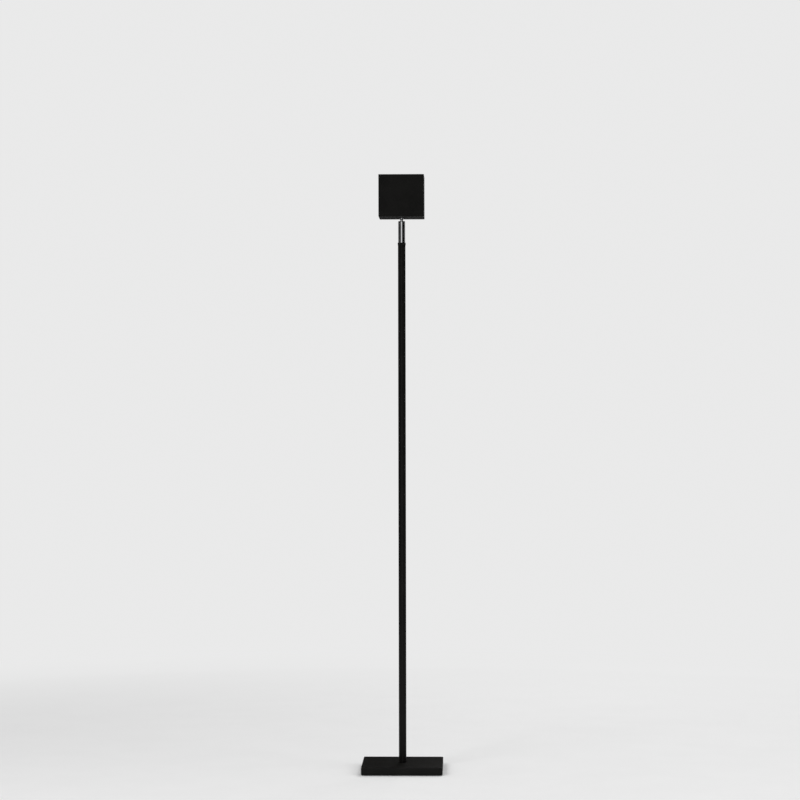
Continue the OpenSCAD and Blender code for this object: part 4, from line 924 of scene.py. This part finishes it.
def makeHousing():
    (left, back, low), (right, front, high) = boxOf("housing")
    s = housingSet
    width, tall = right - left, high - low
    edge, wall, rim, hole = s["edge"], s["wall"], s["rim"], s["postHole"]
    path = [(edge + 0.5, back)] + arc(edge, back + edge, edge, 270, 180, 5)
    path += [(0, front - rim), (0.1, front - 0.1), (rim, front), (wall - rim, front),
             (wall - 0.1, front - 0.1), (wall, front - rim), (wall, back + wall + 0.5),
             (wall + 0.15, back + wall + 0.15), (wall + 0.5, back + wall)]
    shell = squareSolid("housingShell", width, tall, edge, path, s["inner"], beamAxis)
    plate, floor = depths("front_plate")[0], back + wall
    bossEnd = floor + s["bossTall"]
    postAt = corners(*(side / 2 - wall - s["postInset"] for side in (width, tall)))
    posts, holes = [], []
    for post, boss in zip(postAt, corners(*s["bossAt"])):
        posts += [(s["post"], floor - 1, plate, *post), (s["boss"], floor - 1, bossEnd, *boss)]
        holes += [(hole, plate - s["postDepth"], plate + 1, *post, 32),
                  (hole, bossEnd - s["bossDepth"], bossEnd + 1, *boss, 32)]
    (_, screwY, screwLow), (_, screwTop, screwHigh) = boxOf("driver_screws")
    board, wallX, y = boxOf("driver_board")[1][0], width / 2 - wall, (screwY + screwTop) / 2
    apart = screwHigh - screwLow - screwShape["width"] * screwSets["driver_screws"][0]
    spots = [((screwLow + screwHigh) / 2 + side * apart / 2, y) for side in (-1, 1)]
    bars(shell, posts, beamAxis, "UNION")
    bars(shell, [(s["standoff"], board, wallX + 1, -z, y) for z, y in spots], turnBy(90, "Y"),
         "UNION")
    bars(shell, holes, beamAxis)
    bars(shell, [(hole, board - 1, wallX - 0.02, -z, y, 32) for z, y in spots],
         turnBy(90, "Y"))
    bars(shell, [(s["stemHole"], low - 2, low + wall + 1)])
    return finish(shell, "housing")


makeHousing()
print("housing made")

barrelSet = {"outer": 38, "wall": 2.5, "flange": 45, "flangeHeight": 2.5, "seat": 23.2,
             "narrow": 27, "lip": 20, "lipHeight": 2.5, "coneStart": 12, "coneLength": 12,
             "rimWidth": 2.4, "grooves": 7, "groovePitch": 0.9, "grooveDepth": 0.4,
             "grooveFrom": 1.4, "grooveShape": (0.45, 0.8), "mouth": 0.6, "edge": 0.35,
             "screwCircle": 41.5, "screwHole": 1.3}
lensSet = {"radius": 35.3, "rim": 3, "rimWidth": 2.4, "curve": 70, "chamfer": 0.35}
condenserSet = {"radius": 23, "rim": 3, "rimWidth": 3, "curve": 36, "chamfer": 0.3}
lensSteps = 24


def makeBarrel():
    (outer, wall, flange, flangeHeight, seat, narrow, lip, lipHeight, coneStart, coneLength,
     rimWidth, grooves, pitch, grooveDepth, grooveFrom, (deepest, ends), mouth, edge, circle,
     hole) = barrelSet.values()
    back, front = depths("lens_barrel")
    flangeLow = depths("front_plate")[0] - flangeHeight
    flangeTop, coneLow = flangeLow + flangeHeight, back + coneStart
    coneTop, inside, lipTop = coneLow + coneLength, outer - wall, back + lipHeight
    lensBack, ringTop = depths("front_lens")[0], depths("lens_retainer")[1]
    outline = [(lip, back), (narrow, back), (narrow, coneLow), (outer, coneTop),
               (outer, flangeLow), (flange, flangeLow), (flange, flangeTop),
               (outer, flangeTop), (outer, front - mouth), (outer - mouth, front),
               (inside + mouth, front), (inside, front - mouth)]
    for step in range(grooves):   # anti-glare grooves between the rim and the ring
        top = front - grooveFrom - step * pitch
        if top - pitch < ringTop + mouth:
            break
        outline += [(inside, top), (inside + grooveDepth, top - deepest * pitch),
                    (inside, top - ends * pitch)]
    outline += [(inside, lensBack), (inside - rimWidth, lensBack), (inside - rimWidth, coneTop),
                (seat, coneLow), (seat, lipTop), (lip, lipTop)]
    piece = revolve("lensBarrel", rounded(outline, edge, 2), 128, beamAxis)
    bars(piece, [(hole, flangeLow - 2, flangeTop + 2, x, y, 24)
                 for x, y in arc(0, 0, circle, 45, 315, 3)], beamAxis)
    return finish(piece, "lens_barrel")


def makeLens(node, sizes):
    r, rim, rimWidth, curve, chamfer = sizes.values()
    back, dome = depths(node)[0], r - rimWidth
    top = back + rim
    outline = [(0, back), *chamfered(r, back, top, chamfer), (dome, top)]
    for step in range(1, lensSteps + 1):
        x = dome * (1 - step / lensSteps)
        outline.append((x, top + math.sqrt(curve ** 2 - x ** 2)
                        - math.sqrt(curve ** 2 - dome ** 2)))
    return turned(node, outline, 128, beamAxis, sharp=25)


makeBarrel()
makeLens("front_lens", lensSet)
makeLens("condenser_lens", condenserSet)
print("lenses made")

sinkSet = {"corner": 2, "thick": 5, "fin": 2, "fins": 9, "span": 72, "edge": 0.4,
           "earHole": 27, "hole": 1.55}
emitterSet = {"radius": 7, "filterEdge": 0.3, "padGaps": (22, 5), "padSunk": 0.02,
              "pad": ((0, 0), (0.95, 0), (0.9, 0.12), (0.65, 0.3), (0.3, 0.38), (0, 0.4))}


def makeHeatSink():
    corner, thick, fin, fins, span, edge, earHole, hole = sinkSet.values()
    (left, tip, low), (right, face, high) = boxOf("heat_sink")
    tall, back, half = high - low, face - thick, fin / 2
    path = [(edge, back), (0.1, back + 0.1), (0, back + edge), (0, face - edge),
            (0.1, face - 0.1), (edge, face)]
    plate = squareSolid("heatSink", right - left, tall, corner, path, spot=beamAxis)
    end = tip - back   # one fin, drawn in its cross-section and run up the plate
    outline = [(-half, 0.6), (-half, end + 0.7), (-half * 0.6, end + 0.15), (0, end),
               (half * 0.6, end + 0.15), (half, end + 0.7), (half, 0.6)]
    row = prism("fins", outline, 1, -tall / 2, tall / 2)
    inGrid(row, fins, 1, (span - fin) / (fins - 1), 0, "aluminium")
    carve(plate, moved(row, beamAxis @ moveBy(0, 0, back)), "UNION")
    holes = [(hole, back - 1, face + 1, x, z, 32) for x, z in corners(*housingSet["bossAt"])]
    holes += [(hole - 0.05, back - 1, face + 1, 0, z, 32) for z in (-earHole, earHole)]
    bars(plate, holes, beamAxis)
    return finish(plate, "heat_sink")


def makeEmitter():
    back, front = depths("emitter")
    r = emitterSet["radius"]
    return finish(revolve("emitterDisc", [
        (0, back), (r - 0.1, back), (r, back + 0.1), (r, front - 0.15), (r - 0.2, front),
        (r - 0.9, front), (r - 1.2, front - 0.2), (r - 1.4, front - 0.3), (0, front - 0.28)],
        64, beamAxis), "emitter")


def makeFilter():
    (_, back, _), (r, front, _) = boxOf("filter_disc")
    outline = [(0, back), *chamfered(r, back, front, emitterSet["filterEdge"]), (0, front)]
    return turned("filter_disc", outline, spot=beamAxis)


def mounds(name, outline, sides, grid, gaps, spot, node):
    # solder on a board, in columns and rows
    pads = inGrid(revolve(name, outline, sides), *grid, *gaps, "solder")
    return finish(moved(pads, spot), node, "solder", stands=False)


def makePads():
    # on the light source's board, one column of four on either side
    spot = beamAxis @ moveBy(0, 0, depths("emitter_board")[1] - emitterSet["padSunk"])
    return mounds("boardPads", emitterSet["pad"], 24, (2, 4), emitterSet["padGaps"], spot,
                  "emitter_board")


makeHeatSink()
makeEmitter()
makeFilter()
makePads()
print("light source made")

driverSet = {"coilAt": (10, 12), "coilRadius": 6, "coilHeight": 6, "wire": 0.5,
             "canAt": (28, 14), "canRadius": 4, "canHeight": 7, "ventHalf": (2.6, 0.12),
             "chipAt": (22, -8), "chip": 8, "chipHeight": 1.8, "legs": 6, "legGap": 0.95,
             "leg": ((0.3, 0.9), (-0.35, 0.9), (-0.6, 0.7), (-0.7, 0.15), (-1.1, 0.1),
                     (-1.1, -0.02), (-0.55, -0.02), (-0.4, 0.6), (-0.25, 0.72), (0.3, 0.72)),
             "legHalf": 0.18, "terminal": (8, 9, 6), "portGap": 4.4, "port": (1.55, 2.5),
             "screw": (1.35, 0.7), "screwHole": (1.5, 1), "screwSlot": (0.2, 0.4),
             "plug": (6, 6, 10), "latch": (2.2, 3.8, 6, 0.4), "jointsAt": (19, 10),
             "jointGaps": (5, 18), "jointSunk": 0.02,
             "joint": ((0, 0), (0.9, 0), (0.7, 0.2), (0.35, 0.7), (0.2, 0.95), (0, 1))}


def onBoard(y, z):
    # local +Z stands on the board and points to the lamp's middle, local X points up
    x, low, _ = boxOf("driver_board")[0]
    return moveBy(x, low + y, beamZ + z) @ turnBy(-90, "Y")


def softBox(name, low, high, width):
    bm = bmesh.new()
    boxAt(bm, low, high)
    bevel(bm, bm.edges[:], width)
    return newObject(name, bm)


def makeCoil():
    r, tall, wire = driverSet["coilRadius"], driverSet["coilHeight"], driverSet["wire"]
    spot = onBoard(*driverSet["coilAt"])
    outline = [(0, 0), (r - 0.2, 0), (r, 0.2), (r, 0.8), (r - 0.2, 1), (r - 1.6, 1.1),
               (r - 1.6, tall - 1.1), (r - 0.2, tall - 1), (r, tall - 0.8), (r, tall - 0.2),
               (r - 0.2, tall), (0, tall)]
    finish(revolve("coilCore", outline, 48, spot), "driver_parts", "ferrite")
    turns = int((tall - 2.4) / wire)
    winding = wound("coilWinding", wire, 2 * (r - 1.1), tall - 2.4, turns, 0.0, turns * 32 + 1,
                    "copperWire")
    finish(moved(winding, spot @ moveBy(0, 0, 1.2)), "driver_parts", "copperWire")


def makeCapacitor():
    r, tall = driverSet["canRadius"], driverSet["canHeight"]
    outline = [(0, 0), (r - 0.3, 0), (r, 0.3), (r, 0.9), (r - 0.35, 1.2), (r - 0.35, 1.5),
               (r, 1.8), (r, tall - 0.4), (r - 0.4, tall), (r - 0.6, tall),
               (r - 0.7, tall - 0.12), (0, tall - 0.12)]
    can = revolve("capacitor", outline, 48)
    long, short = driverSet["ventHalf"]
    for x, y in ((long, short), (short, long)):   # cross-shaped vent in its top
        slit(can, (-x, -y, tall - 0.3), (x, y, tall + 1))
    return finish(moved(can, onBoard(*driverSet["canAt"])), "driver_parts", "sleeve")


def makeChip():
    size, tall = driverSet["chip"], driverSet["chipHeight"]
    spot = onBoard(*driverSet["chipAt"])
    chip = softBox("chip", (1, 1, 0.25), (size - 1, size - 1, tall), 0.15)
    bars(chip, [(0.4, tall - 0.15, tall + 1, size - 2, 2, 20)])
    finish(moved(chip, spot), "driver_parts", "black_plastic")
    half = driverSet["legHalf"]
    legs = inGrid(prism("chipLegs", driverSet["leg"], 0, -half, half), driverSet["legs"], 1,
                  driverSet["legGap"], 0, "solder")
    other = legs.data.copy()   # the row on the other side
    other.transform(moveBy(0, size - 2, 0) @ turnBy(180, "Z"))
    bm = bmesh.new()
    bm.from_mesh(legs.data)
    bm.from_mesh(other)
    bm.to_mesh(legs.data)
    bm.free()
    bpy.data.meshes.remove(other)
    finish(moved(legs, spot @ moveBy(size / 2, 1, 0)), "driver_parts", "solder")


def makeTerminal():
    # two wire clamps: ports that face down, screws on the face over the board
    x, _, bottom = boxOf("driver_board")[0]
    deep, wide, tall = driverSet["terminal"]
    face, middle, gap = x - deep, bottom + tall / 2, driverSet["portGap"]
    port, portDeep = driverSet["port"]
    hole, holeDeep = driverSet["screwHole"]
    block = softBox("terminal", (face, -wide / 2, bottom), (x, wide / 2, bottom + tall), 0.3)
    bars(block, [(port, bottom - 1, bottom + portDeep, x - deep / 2, side * gap / 2, 32)
                 for side in (-1, 1)])
    bars(block, [(hole, face - 1, face + holeDeep, -middle, side * gap / 2, 32)
                 for side in (-1, 1)], turnBy(90, "Y"))
    finish(block, "driver_parts", "black_plastic")
    r, high = driverSet["screw"]
    half, foot = driverSet["screwSlot"]
    screws = revolve("terminalScrews", rounded([(0, 0), (r, 0), (r, high), (0, high)], 0.1, 2),
                     32)
    inGrid(slit(screws, (-2, -half, foot), (2, half, 1)), 1, 2, 0, gap, "zinc_steel")
    moved(screws, moveBy(face + 0.99, 0, middle) @ turnBy(-90, "Y"))
    finish(screws, "driver_parts", "zinc_steel")


def makeLeadPlug():
    x, y, _ = boxOf("driver_board")[0]
    leadZ = sum(heights("emitter_lead")) / 2
    deep, wide, tall = driverSet["plug"]
    plug = softBox("leadPlug", (x - deep, y, leadZ - tall / 2), (x, y + wide, leadZ + tall / 2),
                   0.25)
    start, end, reach, groove = driverSet["latch"]   # the groove of its latch rib
    slit(plug, (x - deep - 1, y + start, leadZ - reach),
         (x - deep + groove, y + end, leadZ + reach))
    finish(plug, "driver_parts", "white_plastic")


def makeJoints():
    # on the board's back, under the coil and the capacitor
    (_, low, _), (x, _, _) = boxOf("driver_board")
    y, z = driverSet["jointsAt"]
    spot = moveBy(x - driverSet["jointSunk"], low + y, beamZ + z) @ turnBy(90, "Y")
    return mounds("solderJoints", driverSet["joint"], 20, (5, 2), driverSet["jointGaps"], spot,
                  "driver_board")


makeCoil()
makeCapacitor()
makeChip()
makeTerminal()
makeLeadPlug()
makeJoints()
print("driver made")

# CAD nodes that stay as they are get their finish on the slots
for node, piece in cadNodes.items():
    if piece.hide_render:
        continue
    for part in piece.material_slots:
        part.material = finishes[slotOf[node]]
    print("kept from the CAD:", node)

# floor, light and camera; lengths in metres from here on
stageSet = {"floorRadius": 14.0, "fadeFrom": 1.0, "fadeTo": 3.2, "pale": 0.82, "floor": 0.86,
            "mottle": 0.985, "floorRough": 0.75, "worldLight": 0.42}


def seenRays(tree):   # 1 for what the camera, metal and glass see, 0 for light on the lamp
    camera = Wire(tree).node("ShaderNodeLightPath", out="Is Camera Ray")
    path = camera.socket.node.outputs
    either = camera.calc("MAXIMUM", Wire(tree, path["Is Glossy Ray"]),
                         Wire(tree, path["Is Transmission Ray"]))
    return camera.calc("MAXIMUM", camera, either)


def makeFloor():
    bm = bmesh.new()
    bmesh.ops.create_circle(bm, cap_ends=True, segments=96, radius=stageSet["floorRadius"])
    floor = newObject("floor", bm)
    material, tree, shader = newMaterial("paleFloor")
    spot = Wire(tree).node("ShaderNodeTexCoord", out="Object")
    color = spot.noise(180, 4, 0.6).step(0.3, 0.7).tint(
        grey(stageSet["floor"]), grey(stageSet["floor"] * stageSet["mottle"]))
    tree.links.new(color.socket, shader.inputs["Base Color"])
    shader.inputs["Roughness"].default_value = stageSet["floorRough"]
    away = spot.node("ShaderNodeVectorMath", {"operation": "LENGTH"}, {0: spot}, out="Value")
    glow = spot.node("ShaderNodeEmission", None, {"Color": grey(stageSet["pale"])})
    mixed = spot.node("ShaderNodeMixShader", None, {
        0: away.step(stageSet["fadeFrom"], stageSet["fadeTo"]) * seenRays(tree),
        1: Wire(tree, shader.outputs[0]), 2: glow})
    tree.links.new(mixed.socket, tree.nodes["Material Output"].inputs["Surface"])
    floor.data.materials.append(material)


def makeWorld():
    world = bpy.data.worlds.new("studio")
    bpy.context.scene.world = world
    world.use_nodes = True
    tree = world.node_tree
    back = tree.nodes["Background"]
    color = seenRays(tree).tint(grey(stageSet["worldLight"]), grey(stageSet["pale"]))
    tree.links.new(color.socket, back.inputs["Color"])
    back.inputs["Strength"].default_value = 1.0


lightSet = {   # place, what it looks at, width, height, watts
    "keyLight": ((-2.4, -3.4, 3.4), (0, 0, 0.8), 1.6, 2.2, 116),
    "fillLight": ((3.2, -1.6, 2.2), (0, 0, 0.8), 2.0, 2.0, 44),
    "rimLight": ((1.2, 3.2, 3.0), (0, 0, 1.0), 2.0, 1.2, 66),
}


def makeLights():
    for name, (spot, aim, width, tall, power) in lightSet.items():
        light = bpy.data.lights.new(name, "AREA")
        light.shape = "RECTANGLE"
        light.size, light.size_y = width, tall
        light.energy = power
        lamp = addObject(name, light)
        lamp.location = spot
        lamp.rotation_euler = (Vector(aim) - Vector(spot)).to_track_quat("-Z", "Y").to_euler()
        lamp.visible_glossy = False


cardSet = {"radius": 2.6, "bottom": 0.01, "top": 2.4, "steps": 24, "shade": 0.004,
           "gaps": (   # middle and width in degrees, then its lowest and highest point
               (-5, 42, 0.01, 1.75), (104, 8, 0.01, 2.4), (168, 14, 0.8, 2.4),
               (256, 8, 0.01, 2.4))}


def makeCards():
    # a ring of dark card that only reflections see; its gaps are the chrome's narrow lights
    bm = bmesh.new()
    radius, bottom, top, steps, shade, gaps = cardSet.values()

    def card(start, end, low, high):
        columns = [[bm.verts.new((x, y, z)) for z in (low, high)]
                   for x, y in arc(0, 0, radius, start - 90, end - 90, steps)]
        for (a, b), (c, d) in zip(columns, columns[1:]):
            bm.faces.new((a, c, d, b))

    for index, (middle, width, lowest, highest) in enumerate(gaps):
        after, afterWidth = gaps[(index + 1) % len(gaps)][:2]
        card(middle + width / 2, after - afterWidth / 2 + (360 if after < middle else 0),
             bottom, top)
        for low, high in ((bottom, lowest), (highest, top)):
            if high > low:
                card(middle - width / 2, middle + width / 2, low, high)
    cards = newObject("cards", bm)
    material, _, shader = newMaterial("darkCard")
    shader.inputs["Base Color"].default_value = grey(shade)
    shader.inputs["Roughness"].default_value = 1.0
    shader.inputs["Specular IOR Level"].default_value = 0.0
    cards.data.materials.append(material)
    cards.visible_camera = cards.visible_diffuse = cards.visible_shadow = False
    cards.visible_transmission = False


cameraSet = {"distance": 6.77, "height": 0.984, "azimuth": 1.4, "focal": 2546, "sensor": 36,
             "frame": 800, "poleX": 402.0, "roll": -0.11}   # focal, frame and poleX in pixels


def makeCamera():
    distance, height, azimuth, focal, sensor, pixels, poleX, roll = cameraSet.values()
    data = bpy.data.cameras.new("camera")
    camera = addObject("camera", data)
    data.sensor_width = sensor
    data.lens = focal / pixels * sensor
    turn = math.radians(azimuth)
    camera.location = (distance * math.sin(turn), -distance * math.cos(turn), height)
    aside = math.degrees(math.atan((poleX - pixels / 2) / focal))
    camera.rotation_euler = (turnBy(azimuth + aside, "Z") @ turnBy(90, "X")
                             @ turnBy(roll, "Z")).to_euler()
    data.clip_end = 100
    bpy.context.scene.camera = camera


makeFloor()
makeWorld()
makeLights()
makeCards()
makeCamera()
bpy.context.scene.view_settings.view_transform = "Standard"
print("stage made")
